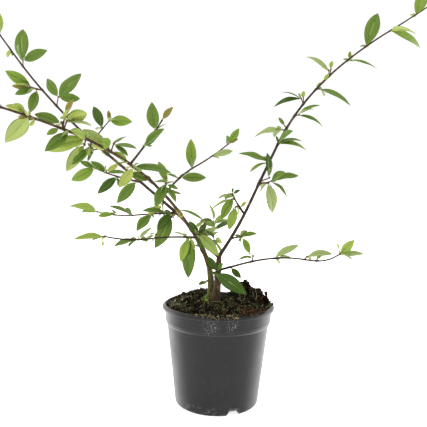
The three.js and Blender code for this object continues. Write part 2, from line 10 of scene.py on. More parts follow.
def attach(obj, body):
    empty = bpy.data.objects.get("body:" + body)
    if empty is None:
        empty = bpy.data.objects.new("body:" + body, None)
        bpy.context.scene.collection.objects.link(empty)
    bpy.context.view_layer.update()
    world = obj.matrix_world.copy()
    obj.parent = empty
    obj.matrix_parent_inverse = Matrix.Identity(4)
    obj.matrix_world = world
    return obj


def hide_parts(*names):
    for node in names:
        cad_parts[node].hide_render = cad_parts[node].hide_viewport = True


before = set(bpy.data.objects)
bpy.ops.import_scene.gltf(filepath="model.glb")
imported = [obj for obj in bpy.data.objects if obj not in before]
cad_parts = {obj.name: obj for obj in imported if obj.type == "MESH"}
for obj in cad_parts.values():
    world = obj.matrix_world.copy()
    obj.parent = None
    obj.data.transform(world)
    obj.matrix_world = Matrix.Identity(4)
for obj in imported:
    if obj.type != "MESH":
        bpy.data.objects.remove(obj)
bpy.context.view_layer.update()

MM = 0.001
TINY = 1e-6
FULL_TURN = 6.283

# The stream of seeded numbers, the same as the source's
STREAM_FACTOR = 1664525
STREAM_STEP = 1013904223
STREAM_SIZE = 4294967296

# Pot
RIM_RADIUS = 65
POT_HEIGHT = 115.7
WALL = 1.6
BASE_RADIUS = 48.4
BASE_FILLET = 3
FILLET_STEPS = 3
FOOT_INNER_RADIUS = 42
FLOOR_LIFT = 6.5
PAD_RADIUS = 20
PAD_SLOPE = 3
SHOULDER_HEIGHT = 93.3
SHOULDER_RADIUS = 59
BAND_RADIUS = 61.8
LIP_BOTTOM = 108.6
RIM_INNER_RADIUS = 60.5
POT_SEGMENTS = 160
NOTCH_COUNT = 3
NOTCH_ANGLE = -67
NOTCH_WIDTH = 17
NOTCH_TOP_WIDTH = 11
NOTCH_HEIGHT = 6
NOTCH_DEPTH = 16
NOTCH_ROUND = 1.4
NOTCH_STEPS = 4
DRAIN_COUNT = 6
DRAIN_RADIUS = 3.5
DRAIN_CIRCLE = 32
DRAIN_SIDES = 24
WALL_STEP = 6
CORNER_ROUND = 0.7
CORNER_STEPS = 4

# Soil
GAP = 0.3
SOIL_EDGE_HEIGHT = 111.5
SOIL_TOP = 118
SOIL_FLAT_RADIUS = 17

# Heaps of soil: x, y, height and radius
HEAPS = ((31, 36, 17, 14), (50, 21, 11.5, 12), (-22, 38, 7, 16), (-42, 18, 5, 14))

# The growth rule
RING_STEP = 14
SHORTEST_STALK = 3.5
STALK_RADIUS = 0.6
FLARE_HEIGHT = 9
LEAF_SLIMNESS = 0.19
LEAF_FOLD = 0.15
LEAF_SINK = 1
SMALL_LEAF = 15
TURN_SPREAD = 6
TILT_SPREAD = 24
FACE_SPREAD = 12
SIZE_SPREAD = 0.08
NEXT_LEAF_SHRINK = 0.2
FILL_TURN = 70
FILL_FACE = 70
FILL_TILT = 62
FILL_SIZE = 0.8
FILL_SIZE_SPREAD = 0.1
LEAF_CLEARANCE = 4.5
WOOD_CLEARANCE = 1.2
POT_CLEARANCE = 2
PROBE_SHARES = (0.25, 0.37, 0.49, 0.61, 0.73, 0.86, 1)

# Bare wood. heading is the compass bearing in plan, 0 to the right and 90 away from the viewer. rise is the
# climb above level. Both are in degrees, at equal steps along the limb. radius is at the foot and at the tip.
# bare is the share of a bough that is wood alone, and its leaves follow from there.
LIMBS = {
  "trunk": {
    "start": [-3.7, 0], "heading": [0, 0], "rise": [80, 89, 87], "length": 53, "radius": [4.6, 2.9],
    "flare": 1.2
  },
  "left_stem": {
    "start": [-8.4, 6.5], "heading": [180, 171, 168, 167, 165], "rise": [89, 85, 63, 57, 41], "length": 109,
    "radius": [4.5, 1.9], "flare": 0.6
  },
  "right_bough": {
    "from": ["trunk", 1], "heading": [23, 31, 34, 24, 20, 18, 18, 20],
    "rise": [53, 62, 60, 48, 38, 32, 34, 33], "length": 524, "radius": [2, 0.8], "bare": 0.17
  },
  "left_bough": {
    "from": ["trunk", 0.99], "heading": [-149, -139, -142, -137, -134, -133, -133, -134],
    "rise": [32, 51, 40, 26, 16, 12, 8, 2], "length": 409, "radius": [2.2, 0.9], "bare": 0.29
  },
  "upper_left_bough": {
    "from": ["left_stem", 1], "heading": [159, 157, 156, 155, 156, 156, 157, 158],
    "rise": [36, 35, 34, 39, 43, 48, 48, 46], "length": 453, "radius": [1.9, 0.85], "bare": 0.17
  },
}

# Masses of leaves. A mass follows a bough's bare wood or starts from a limb. tilt is how far its leaves lean
# away from the viewer and droop how far each leaf arches. tints has a letter for each bud in turn: deep, mid,
# fresh, lime, bronze, pale or olive. A row of buds holds: share along the stem, stalk length, stalk angle,
# leaf length, facing, then the angle of each leaf. Angles are as the viewer sees them, 0 to the right and 90
# up. facing turns the blade: 0 shows its top, 90 its edge with the top upwards and 180 its underside.
# The deep tint is partly painted shade, and the pale tint partly a painted highlight.
MASSES = {
  "right_bough_leaves": {
    "follows": "right_bough", "seed": 39, "tilt": 8, "droop": 38, "tints": "dmpdmmdpmmdlmlplmbmff",
    "buds": [
      [0.18, 2, 190, 12, 20, 190], [0.187, 16, 14, 35, 70, 9, -48], [0.19, 11, 0, 42, 20, -80],
      [0.195, 12, 20, 31, 40, 100], [0.244, 3, 160, 36, 70, 168, 208], [0.294, 3, 20, 41, 70, -14, 12],
      [0.294, 2, 100, 10, 20, 100], [0.332, 4, 170, 34, 62, 200], [0.338, 4, 130, 13, 30, 130],
      [0.374, 6, 20, 38, 70, -26, 18], [0.412, 8, 110, 35, 68, 200, 164], [0.412, 7, 90, 12, 20, 80],
      [0.462, 4, 10, 42, 62, -29], [0.489, 1, 60, 13, 30, 60, 215], [0.511, 7, 95, 38, 55, 145],
      [0.513, 8, 80, 14, 20, 80], [0.576, 2, 0, 41, 66, -18], [0.58, 2, 85, 10, 10, 85],
      [0.637, 2, 70, 50, 10, 66], [0.718, 2, -10, 52, 38, -14], [0.802, 2, 80, 40, 20, 62],
      [0.86, 2, -10, 40, 60, -22], [0.905, 3, 90, 34, 30, 92], [0.95, 3, 0, 30, 50, -6],
      [1, 0, 30, 27, 25, 30, 62, 0]
    ]
  },
  "upper_left_bough_leaves": {
    "follows": "upper_left_bough", "seed": 150, "tilt": 0, "droop": 22, "tints": "mlmdblmfbdmml", "buds": [
      [0.18, 1, 0, 27, 30, -30], [0.225, 1, 210, 17, 160, 207], [0.3, 1, -30, 17, 20, -38],
      [0.3, 9, 190, 20, 30, 190, 235, 140], [0.456, 2, 60, 24, 20, 55], [0.452, 2, 20, 28, 40, 5],
      [0.496, 12, 80, 45, 12, 58, 128, 3], [0.566, 17, 165, 37, 15, 150], [0.566, 19, 170, 20, 30, 183],
      [0.566, 11, 172, 27, 15, 205], [0.566, 8, 175, 30, 5, 262], [0.668, 8, 88, 46, 5, 93, 17],
      [0.74, 3, 240, 12, 150, 240], [0.8, 3, 95, 36, 15, 98], [0.845, 3, 180, 36, 30, 192],
      [0.885, 4, 80, 33, 20, 96, 40], [0.925, 3, 190, 32, 25, 200], [0.965, 3, 90, 28, 20, 82],
      [1, 0, 130, 27, 20, 132, 166, 98]
    ],
    "twigs": [{
      "share": 0.335, "heading": [36, 38], "rise": [52, 48], "length": 36, "radius": [0.7, 0.5],
      "tints": "dfb", "buds": [
        [0.6, 1, 110, 34, 20, 116], [1, 1, 45, 34, 15, -3], [1, 1, 80, 14, 20, 92]
      ]
    }]
  },
  "left_bough_leaves": {
    "follows": "left_bough", "seed": 33, "tilt": -6, "droop": 24, "tints": "mmllmfllffldmlpmfbll", "buds": [
      [0.312, 2, 200, 21, 25, 160], [0.374, 2, 30, 38, 62, -6], [0.372, 2, 240, 25, 168, 230],
      [0.39, 1, 130, 18, 40, 140], [0.447, 9, 70, 28, 62, -10, -35], [0.45, 4, 110, 33, 165, 145],
      [0.455, 3, 160, 19, 160, 158], [0.519, 3, 215, 33, 15, 198], [0.521, 6, 262, 31, 165, 240],
      [0.505, 7, 262, 26, 20, 222], [0.526, 2, 215, 35, 160, 203], [0.565, 2, 220, 28, 10, 224],
      [0.583, 6, 95, 26, 30, 158], [0.583, 9, 80, 24, 165, 10], [0.58, 8, 70, 27, 75, -12],
      [0.59, 1, 200, 14, 20, 210], [0.665, 2, 230, 36, 165, 225], [0.665, 3, 140, 19, 60, 150],
      [0.65, 2, 240, 9, 150, 240], [0.675, 4, 130, 19, 160, 165], [0.73, 3, 120, 32, 20, 130],
      [0.76, 3, 240, 34, 30, 235], [0.8, 3, 110, 32, 25, 120], [0.84, 3, 240, 32, 20, 225],
      [0.88, 3, 120, 30, 30, 130], [0.92, 3, 240, 30, 25, 230], [0.96, 3, 120, 26, 20, 140],
      [1, 0, 180, 26, 20, 175, 148, 205]
    ],
    "twigs": [{
      "share": 0.385, "heading": [30, 42], "rise": [50, 54], "length": 60, "radius": [0.9, 0.6],
      "tints": "mmb", "buds": [
        [0.75, 1, 90, 28, 10, 91], [0.4, 1, 30, 29, 25, 36], [1, 1, 50, 20, 20, 43]
      ]
    }]
  },
  "inner_twig_leaves": {
    "from": ["left_bough", 0.256], "heading": [60, 51, 47], "rise": [38, 22, 31], "length": 126,
    "radius": [1, 0.6], "seed": 169, "tilt": 0, "droop": 18, "tints": "mmmmpfb", "buds": [
      [0.05, 1, 0, 15, 70, -12], [0.25, 1, 150, 15, 70, 155], [0.26, 1, 10, 29, 25, 4],
      [0.44, 2, 90, 32, 5, 91], [0.745, 1, 30, 24, 25, 17], [1, 2, 50, 25, 5, 54], [1, 2, 0, 15, 30, 33]
    ]
  },
  "low_left_twig_leaves": {
    "from": ["upper_left_bough", 0.145], "heading": [152, 154], "rise": [6, 19], "length": 72,
    "radius": [0.9, 0.6], "seed": 31, "tilt": 0, "droop": 18, "tints": "mddmfm", "buds": [
      [0.08, 1, 240, 34, 10, 235], [0.5, 1, 230, 31, 10, 228], [0.72, 1, 120, 24, 30, 138],
      [0.74, 1, 60, 24, 60, 6], [1, 1, 200, 33, 10, 210], [1, 1, 160, 20, 30, 160]
    ]
  },
  "left_level_twig_leaves": {
    "from": ["upper_left_bough", 0.012], "heading": [148, 151, 153], "rise": [-5, -7, 9], "length": 124,
    "radius": [1, 0.6], "seed": 18, "tilt": 0, "droop": 30, "tints": "mdmldmml", "buds": [
      [0.05, 5, 262, 44, 10, 239], [0.05, 1, 225, 26, 20, 229], [0.12, 3, 120, 29, 62, 170],
      [0.16, 11, 92, 24, 165, 214], [0.3, 1, 236, 27, 10, 234], [0.545, 3, 130, 32, 62, 163],
      [0.762, 1, 180, 24, 30, 182], [1, 1, 160, 42, 65, 172]
    ]
  },
  "left_front_twig_leaves": {
    "from": ["left_stem", 0.7], "heading": [-142, -139, -138], "rise": [7, -2, 14], "length": 122,
    "radius": [1, 0.6], "seed": 171, "tilt": 0, "droop": 30, "tints": "mlpppmlp", "buds": [
      [0.06, 2, 270, 44, 10, 264], [0.08, 1, 250, 31, 15, 252], [0.11, 1, 120, 17, 70, 163],
      [0.47, 5, 75, 17, 60, 214], [0.645, 1, 60, 20, 50, 40], [0.65, 1, 220, 27, 60, 202],
      [1, 1, 180, 34, 60, 180], [1, 1, 210, 14, 70, 203]
    ]
  },
  "low_right_twig_leaves": {
    "from": ["trunk", 0.68], "heading": [-28, -36, -41, -47, -53], "rise": [20, 18, 9, -1, 34],
    "length": 164, "radius": [1.1, 0.6], "seed": 39, "tilt": 0, "droop": 30, "tints": "dmpppplp", "buds": [
      [0.1, 2, -40, 19, 12, -46], [0.285, 7, 75, 18, 60, 196], [0.47, 3, 60, 31, 60, 24],
      [0.49, 2, 40, 15, 70, 5], [0.71, 4, 50, 30, 62, 10], [0.8, 2, 60, 11, 60, 40], [1, 1, 50, 22, 25, 56],
      [1, 1, 10, 24, 72, 0]
    ]
  },
  "right_foot_twig_leaves": {
    "from": ["right_bough", 0.046], "heading": [-20, -24], "rise": [16, 10], "length": 15,
    "radius": [0.7, 0.5], "seed": 224, "tilt": -10, "droop": 40, "tints": "mfm", "buds": [
      [0.8, 1, 30, 20, 60, 12], [1, 1, -40, 22, 20, -64], [1, 1, 150, 10, 50, 165]
    ]
  },
  "right_inner_twig_leaves": {
    "from": ["right_bough", 0.11], "heading": [172, 168], "rise": [52, 62], "length": 28,
    "radius": [0.9, 0.6], "seed": 170, "tilt": 0, "droop": 40, "tints": "lfppdl", "buds": [
      [0.42, 4, 195, 27, 15, 251], [0.82, 1, 230, 28, 20, 235], [0.75, 1, 200, 34, 76, 206],
      [1, 1, 180, 17, 65, 200], [1, 1, 60, 12, 40, 35], [0.3, 1, 50, 12, 160, 50]
    ]
  },
  "fork_twig_leaves": {
    "from": ["left_bough", 0.1], "heading": [-70, -90], "rise": [10, 30], "length": 16,
    "radius": [0.8, 0.6], "seed": 2, "tilt": -12, "droop": 30, "tints": "oddpdmd", "buds": [
      [0.9, 1, 0, 34, 168, -43], [0.5, 1, 118, 18, 20, 122], [0.8, 1, 60, 16, 20, 52],
      [0.6, 1, 20, 26, 66, 14], [0.7, 8, 50, 20, 76, -30], [0.95, 16, 58, 31, 74, 158],
      [0.4, 1, -60, 18, 40, -75]
    ]
  },
  "bough_side_twig_leaves": {
    "from": ["left_bough", 0.262], "heading": [-50, -70], "rise": [60, 52], "length": 14,
    "radius": [0.8, 0.6], "seed": 115, "tilt": -10, "droop": 30, "tints": "mmmd", "buds": [
      [1, 1, 240, 27, 12, 247], [1, 1, 110, 23, 30, 118], [0.8, 1, -10, 17, 50, -14],
      [0.7, 1, -50, 22, 55, -55]
    ]
  },
  "back_twig_leaves": {
    "from": ["trunk", 0.86], "heading": [100, 88], "rise": [24, 10], "length": 125, "radius": [0.8, 0.45],
    "seed": 8, "tilt": 45, "droop": 30, "buds": [
      [0.3, 1, 190, 28, 60, 190], [0.42, 1, -10, 26, 60, -20], [0.54, 1, 160, 30, 60, 160],
      [0.66, 1, 20, 28, 60, 25], [0.78, 1, 160, 30, 60, 165], [0.9, 1, 0, 28, 60, 10],
      [1, 1, 90, 28, 60, 110], [1, 1, 180, 26, 60, 180]
    ]
  },
  "foot_leaves": {
    "from": ["trunk", 0.66], "heading": [-102, -102], "rise": [6, -4], "length": 14, "radius": [0.8, 0.6],
    "seed": 9, "tilt": -12, "droop": 24, "tints": "ddm", "buds": [
      [1, 1, -20, 48, 6, -25], [0.5, 1, 130, 20, 25, 128], [0.3, 1, 55, 16, 40, 58]
    ]
  },
  "stem_foot_leaves": {
    "from": ["left_stem", 0.2], "heading": [-165, -165], "rise": [10, 0], "length": 5, "radius": [0.7, 0.5],
    "seed": 64, "tilt": -5, "droop": 24, "tints": "dd", "buds": [
      [1, 1, 200, 12, 30, 208], [0.8, 1, 150, 9, 40, 150]
    ]
  },
}


def seeded(seed):
    """A source of even numbers from 0 to 1 that is the same on every run."""
    state = seed

    def draw():
        nonlocal state
        state = (state * STREAM_FACTOR + STREAM_STEP) % STREAM_SIZE
        return state / STREAM_SIZE

    return draw


def stray(dice, spread):
    """A draw that goes as far as a spread to either side."""
    return spread * (2 * dice() - 1)


def off(dice):
    """A draw from -0.5 to 0.5."""
    return dice() - 0.5


def vec(x, y, z):
    return np.array([x, y, z], float)


def up(height):
    return vec(0, 0, height)


def unit(way):
    return way / norm(way)


def along(row, share):
    """The value or place at a share of a row whose entries stand at equal steps."""
    place = share * (len(row) - 1)
    index = min(int(place), len(row) - 2)
    return row[index] + (row[index + 1] - row[index]) * (place - index)


def grow(shoot, foot):
    """The middle line of a limb or twig, grown ring by ring from its foot."""
    rings = max(3, int(shoot["length"] / RING_STEP + 0.5))
    run = [np.array(foot, float)]
    for ring in range(rings):
        share = (ring + 0.5) / rings
        heading = radians(along(shoot["heading"], share))
        rise = radians(along(shoot["rise"], share))
        way = vec(cos(rise) * cos(heading), cos(rise) * sin(heading), sin(rise))
        run.append(run[-1] + way * shoot["length"] / rings)
    return run


def stretch(run, start, end):
    """The stretch of a run between two shares."""
    last = len(run) - 1
    inside = [run[i] for i in range(len(run)) if start + TINY < i / last < end - TINY]
    return [along(run, start), *inside, along(run, end)]


def aim(angle, tilt):
    """A direction given as the viewer sees it, with its lean away from the viewer."""
    turn, lean = radians(angle), radians(tilt)
    return vec(cos(lean) * cos(turn), sin(lean), cos(lean) * sin(turn))


def new_leaf(root, way, facing, length, droop):
    """A leaf, with the way that the top of its blade looks."""
    front = vec(0, -1, 0)
    front = unit(front - way * front.dot(way))
    side = np.cross(way, front)
    if side[2] < 0:
        side = -side
    turn = radians(facing)
    top = front * cos(turn) + side * sin(turn)
    return {"root": root, "way": way, "top": top, "length": length, "droop": droop}


def leaf_point(leaf, share, across, width):
    """A point of the source's leaf: share from its root to its tip, across from -1 to 1 in half widths."""
    side = np.cross(leaf["way"], leaf["top"])
    arch = sin(radians(leaf["droop"]) / 2) * share * (1 - share) * leaf["length"]
    half = width * leaf["length"] * LEAF_SLIMNESS
    return (leaf["root"] + leaf["way"] * leaf["length"] * share
            + leaf["top"] * (arch + abs(across) * half * LEAF_FOLD) + side * across * half)


def open_bud(run, bud, dice, mass, away):
    """One bud: its stalk and its leaves, with one more leaf in depth where the leaves are large."""
    share, stalk, stalk_angle, size, facing, *angles = bud
    foot = along(run, min(share, 1 - LEAF_SINK / (RING_STEP * len(run))))
    stalk_way = aim(stalk_angle, mass["tilt"])
    has_stalk = stalk > SHORTEST_STALK
    tip = foot + stalk_way * stalk if has_stalk else foot
    root = tip - stalk_way * LEAF_SINK if has_stalk else foot
    leaves = []
    for index, angle in enumerate(angles):
        tilt = mass["tilt"] + stray(dice, TILT_SPREAD)
        way = aim(angle + stray(dice, TURN_SPREAD), tilt)
        face = facing + stray(dice, FACE_SPREAD)
        length = size * (1 - NEXT_LEAF_SHRINK * index) * (1 + stray(dice, SIZE_SPREAD))
        leaves.append(new_leaf(root, way, face, length, mass["droop"]))
    if size > SMALL_LEAF:
        tilt = mass["tilt"] + (FILL_TILT if away else -FILL_TILT)
        way = aim(angles[0] + stray(dice, FILL_TURN), tilt)
        face = FILL_FACE + stray(dice, TILT_SPREAD)
        length = size * (FILL_SIZE + stray(dice, FILL_SIZE_SPREAD))
        leaves.append(new_leaf(root, way, face, length, mass["droop"]))
    return {"foot": foot, "tip": tip, "has_stalk": has_stalk, "share": share, "size": size, "leaves": leaves}


def leaf_probes(leaf):
    """Points that stand for a leaf when it is tested against its neighbours."""
    probes = []
    for share in PROBE_SHARES:
        for across in (-0.8, 0, 0.8) if share < 1 else (0,):
            probes.append(leaf_point(leaf, share, across, 0.5 if share > 0.8 else 1))
    return np.array(probes)


def near_wood(probes, run, reach):
    """Whether any probe is nearer to a run than its reach."""
    starts, ends = np.array(run[:-1]), np.array(run[1:])
    ways = ends - starts
    from_start = probes[:, None, :] - starts[None]
    share = np.clip((from_start * ways).sum(2) / (ways * ways).sum(1), 0, 1)
    gaps = norm(from_start - ways * share[..., None], axis=2)
    return bool((gaps < reach).any())


def is_blocked(probes, owner, wood, placed):
    """Whether any of a leaf's points touches another mass, a limb of another mass, the soil or the pot."""
    low = probes[:, 2] < SOIL_TOP + POT_CLEARANCE
    over_pot = np.hypot(probes[:, 0], probes[:, 1]) < RIM_RADIUS + POT_CLEARANCE
    if (low & over_pot).any():
        return True
    if any(node != owner and near_wood(probes, run, radius + WOOD_CLEARANCE) for node, run, radius in wood):
        return True
    others = [points for node, points in placed if node != owner]
    if not others:
        return False
    gaps = norm(probes[:, None, :] - np.concatenate(others)[None], axis=2)
    return bool((gaps < LEAF_CLEARANCE).any())


def grow_plant():
    """The run of every limb, and the stems of every mass with the buds whose leaves have room."""
    runs, stems, wood, placed = {}, {}, [], []

    def grow_out(shoot):
        if "start" in shoot:
            return grow(shoot, [*shoot["start"], SOIL_TOP + GAP])
        limb, share = shoot["from"]
        return grow(shoot, along(runs[limb], share))

    def add_stem(name, shoot, run, radius, start=0):
        stem = {"run": run, "radius": radius, "start": start, "buds": shoot["buds"]}
        stem["tints"] = shoot.get("tints", "")
        stems.setdefault(name, []).append(stem)
        wood.append((name, stretch(run, start, 1) if start else run, radius[0]))

    for name, limb in LIMBS.items():
        runs[name] = grow_out(limb)
        wood.append((name, stretch(runs[name], 0, limb.get("bare", 1)), limb["radius"][0]))
    for name, mass in MASSES.items():
        if "follows" in mass:
            bough = LIMBS[mass["follows"]]
            start = bough["bare"] + GAP / bough["length"]
            radius = [along(bough["radius"], start), bough["radius"][1]]
            add_stem(name, mass, runs[mass["follows"]], radius, start)
        else:
            add_stem(name, mass, grow_out(mass), mass["radius"])
        for twig in mass.get("twigs", []):
            add_stem(name, twig, grow(twig, along(stems[name][0]["run"], twig["share"])), twig["radius"])
    for name, mass in MASSES.items():
        dice = seeded(mass["seed"])
        for stem in stems[name]:
            stem["opened"] = []
            for index, bud in enumerate(stem["buds"]):
                opened = open_bud(stem["run"], bud, dice, mass, index % 2 == 0)
                opened["tint"] = stem["tints"][index:index + 1]
                tried = [(leaf, leaf_probes(leaf)) for leaf in opened["leaves"]]
                kept = [pair for pair in tried if not is_blocked(pair[1], name, wood, placed)]
                if kept:
                    if opened["has_stalk"]:
                        wood.append((name, [opened["foot"], opened["tip"]], STALK_RADIUS))
                    opened["leaves"] = [leaf for leaf, _ in kept]
                    placed.extend((name, probes) for _, probes in kept)
                    stem["opened"].append(opened)
    return runs, stems


class Sheaf:
    """Vertices in millimetres, faces and the look of each face, gathered for one piece."""

    def __init__(self):
        self.points, self.faces, self.looks = [], [], []

    def add(self, points, faces, looks):
        base = len(self.points)
        self.points.extend(points)
        self.faces.extend(tuple(base + corner for corner in face) for face in faces)
        self.looks.extend([looks] * len(faces) if isinstance(looks, int) else looks)

    def loft(self, rows, looks, capped=False):
        """A skin over rows of points, each a ring or a single point. looks is one look, or one per column."""
        sides = max(len(row) for row in rows)
        points, rings, faces = [], [], []
        for row in rows:
            rings.append([len(points) + (side if len(row) > 1 else 0) for side in range(sides)])
            points.extend(row)
        for ring, following in zip(rings, rings[1:]):
            for side in range(sides):
                after = (side + 1) % sides
                corners = (ring[side], ring[after], following[after], following[side])
                faces.append(tuple(dict.fromkeys(corners)))
        if capped:
            faces += [tuple(reversed(rings[0])), tuple(rings[-1])]
        self.add(points, faces, looks if isinstance(looks, int) else looks * (len(rows) - 1))

    def make(self, name, materials):
        mesh = bpy.data.meshes.new(name)
        mesh.from_pydata([tuple(c * MM for c in point) for point in self.points], [], self.faces)
        for made in materials:
            mesh.materials.append(made)
        mesh.polygons.foreach_set("material_index", self.looks)
        mesh.polygons.foreach_set("use_smooth", [True] * len(self.faces))
        mesh.update()
        piece = bpy.data.objects.new(name, mesh)
        bpy.context.scene.collection.objects.link(piece)
        return piece


def smooth_noise(point, scale, seed):
    """Smooth noise from about -1 to 1 at a place in millimetres."""
    x, y, z = (c * scale for c in point)
    return noise.noise(Vector((x + seed, y - seed, z + seed / 2)))


def pick(weights, draw):
    """The index that a draw from 0 to 1 falls on in a row of weights."""
    total = 0
    for index, weight in enumerate(weights):
        total += weight / sum(weights)
        if draw < total:
            return index
    return len(weights) - 1


def add_tube(sheaf, spine, sides, look, relief=None):
    """A closed tube along (centre, radius) pairs. relief adds to the radius at a turn and a place."""
    centres = [np.array(centre, float) for centre, _ in spine]
    last = len(centres) - 1
    side = vec(0, 1, 0)
    rows = []
    for ring, (centre, (_, radius)) in enumerate(zip(centres, spine)):
        way = unit(centres[min(ring + 1, last)] - centres[max(ring - 1, 0)])
        side = side - way * side.dot(way)
        if norm(side) < TINY:
            side = np.cross(way, [1.0, 0.0, 0.0])
        side = unit(side)
        other = np.cross(way, side)
        row = []
        for corner in range(sides):
            turn = 2 * pi * corner / sides
            out = side * cos(turn) + other * sin(turn)
            reach = radius + (relief(turn, centre + out * radius) if relief else 0)
            row.append(centre + out * reach)
        rows.append(row)
    sheaf.loft(rows, look, capped=True)


def lump_template():
    """The points and faces of an icosahedron, for lumps."""
    shape = bmesh.new()
    bmesh.ops.create_icosphere(shape, subdivisions=1, radius=1)
    shape.verts.index_update()
    points = [tuple(v.co) for v in shape.verts]
    faces = [tuple(v.index for v in face.verts) for face in shape.faces]
    shape.free()
    return points, faces


LUMP_POINTS, LUMP_FACES = lump_template()


def add_lump(sheaf, centre, size, dice, look, squash=1.0, detail=0.35):
    """A small uneven lump, such as a crumb or a bud's knob."""
    turns = [Matrix.Rotation(dice() * FULL_TURN, 3, axis) for axis in "XYZ"]
    turn = turns[0] @ turns[1] @ turns[2]
    stretch_by = [size * (0.7 + 0.6 * dice()) for _ in range(3)]
    seed = dice() * 50
    points = []
    for point in LUMP_POINTS:
        bump = 1 + detail * noise.noise(Vector(point) * 1.7 + Vector((seed, seed, seed)))
        moved = turn @ Vector([c * s * bump for c, s in zip(point, stretch_by)])
        points.append((centre[0] + moved.x, centre[1] + moved.y, centre[2] + moved.z * squash))
    sheaf.add(points, LUMP_FACES, look)


# Wood

RUN_STEP = 3
BOUGH_STEP = 2
UPRIGHT_STEP = 1.2
UPRIGHT_KNOTS = (0.55, 0.8)
UPRIGHT_FOOT = 4
BOUGH_SIDES = 18
TRUNK_SIDES = 44
COLLAR_SIDES = 14
SPUR_SIDES = 7
TWIG_SIDES = 8
SCALE_SIDES = 5
BOUGH_FLARE = 0.5
TWIG_FLARE = 0.35
TWIG_BARK = 0.2
TWIG_SEED = 500
NODE_SWELL = 0.28
NODE_REACH = 2.2
TAPERS = {"trunk": 1, "left_stem": 1.5, "right_bough": 1.3, "left_bough": 1.8, "upper_left_bough": 0.9}

# A bough's collar, as lengths and thicknesses in radii, and the left bough's pale node, as shares and radii
COLLAR = ((-1.2, 0.7), (0, 1.3), (1, 1.34), (2.2, 1.14), (3.4, 0.8))
PALE_NODE = ((0.171, 1.6), (0.176, 2.3), (0.183, 2.8), (0.19, 2.4), (0.197, 2.5), (0.203, 1.6))
TWIG_LOOK, SPUR_LOOK, SCALE_LOOK = 0, 1, 2


def smooth_run(run, step):
    """A run drawn again as a smooth curve through its points, in short steps."""
    points = [2 * run[0] - run[1], *run, 2 * run[-1] - run[-2]]
    smooth = []
    for a, b, c, d in zip(points, points[1:], points[2:], points[3:]):
        count = max(2, ceil(norm(c - b) / step))
        for index in range(count):
            t = index / count
            bend = 2 * a - 5 * b + 4 * c - d
            smooth.append(0.5 * (2 * b + (c - a) * t + bend * t * t + (3 * b - a - 3 * c + d) * t ** 3))
    return [*smooth, run[-1]]


def limb_spine(run, radius, flare, knots, step=RUN_STEP, taper=1):
    """The middle line and radius of a limb, with its root flare, a swelling at each bud and a round end."""
    length = sum(norm(b - a) for a, b in zip(run, run[1:]))
    line = smooth_run(run, step)
    spine = []
    for index, centre in enumerate(line):
        share = index / (len(line) - 1)
        reach = radius[1] + (radius[0] - radius[1]) * (1 - share) ** taper
        reach += flare * exp(-share * length / FLARE_HEIGHT)
        swell = max([exp(-((share - knot) * length / NODE_REACH) ** 2) for knot in knots], default=0)
        spine.append((centre, reach * (1 + NODE_SWELL * swell)))
    centre, reach = spine[-1]
    way = unit(centre - spine[-2][0])
    return [*spine, (centre + way * reach * 0.6, reach * 0.75), (centre + way * reach * 0.9, reach * 0.3)]


def bark_relief(depth, ridges):
    """Relief for bark: ridges that wander along the limb, and a fine grain."""
    def relief(turn, point):
        ridge = sin(ridges * turn + smooth_noise(point, 0.05, 3) * 2.5)
        grain = smooth_noise(point, 0.6, 9)
        patch = smooth_noise(point, 0.16, 5)
        return depth * (0.45 * ridge * (0.6 + 0.6 * patch) + 0.5 * grain + 0.7 * patch)
    return relief


def make_upright(name, run, ridges):
    """The trunk or the stem beside it, from a foot just under the soil."""
    limb = LIMBS[name]
    spine = limb_spine(run, limb["radius"], limb["flare"], UPRIGHT_KNOTS, UPRIGHT_STEP, TAPERS[name])
    centre, reach = spine[0]
    foot = vec(centre[0], centre[1], SOIL_TOP - UPRIGHT_FOOT)
    spine[:1] = [(foot, reach * 1.12), (foot + (centre - foot) * 0.98, reach * 1.03)]
    sheaf = Sheaf()
    add_tube(sheaf, spine, TRUNK_SIDES, 0, bark_relief(0.24, ridges))
    return sheaf


def make_boughs(runs, stems):
    """The three boughs, each with a collar where it leaves its limb, and the left one's pale node."""
    sheaf = Sheaf()
    for name in ("right_bough", "left_bough", "upper_left_bough"):
        run, radius = runs[name], LIMBS[name]["radius"]
        look = 1 if name == "left_bough" else 0
        knots = [bud["share"] for bud in stems[name + "_leaves"][0]["opened"]]
        spine = limb_spine(run, radius, BOUGH_FLARE, knots, BOUGH_STEP, TAPERS[name])
        add_tube(sheaf, spine, BOUGH_SIDES, look, bark_relief(0.09, 5))
        way = unit(run[1] - run[0])
        collar = [(run[0] + way * radius[0] * far, radius[0] * thick) for far, thick in COLLAR]
        add_tube(sheaf, collar, COLLAR_SIDES, look)
    node = [(along(runs["left_bough"], share), reach) for share, reach in PALE_NODE]
    add_tube(sheaf, node, BOUGH_SIDES, 2, bark_relief(0.3, 4))
    return sheaf


def make_twigs(stems):
    """Every twig, bud stalk, knob and bud scale of the plant, in one piece."""
    sheaf = Sheaf()
    for name, rows in stems.items():
        dice = seeded(MASSES[name]["seed"] + TWIG_SEED)
        for stem in rows:
            if stem["start"] == 0:
                knots = [bud["share"] for bud in stem["opened"]]
                radius = [reach + TWIG_BARK for reach in stem["radius"]]
                spine = limb_spine(stem["run"], radius, TWIG_FLARE, knots)
                add_tube(sheaf, spine, TWIG_SIDES, TWIG_LOOK, bark_relief(0.05, 3))
            for bud in stem["opened"]:
                add_bud_wood(sheaf, bud, dice)
    return sheaf


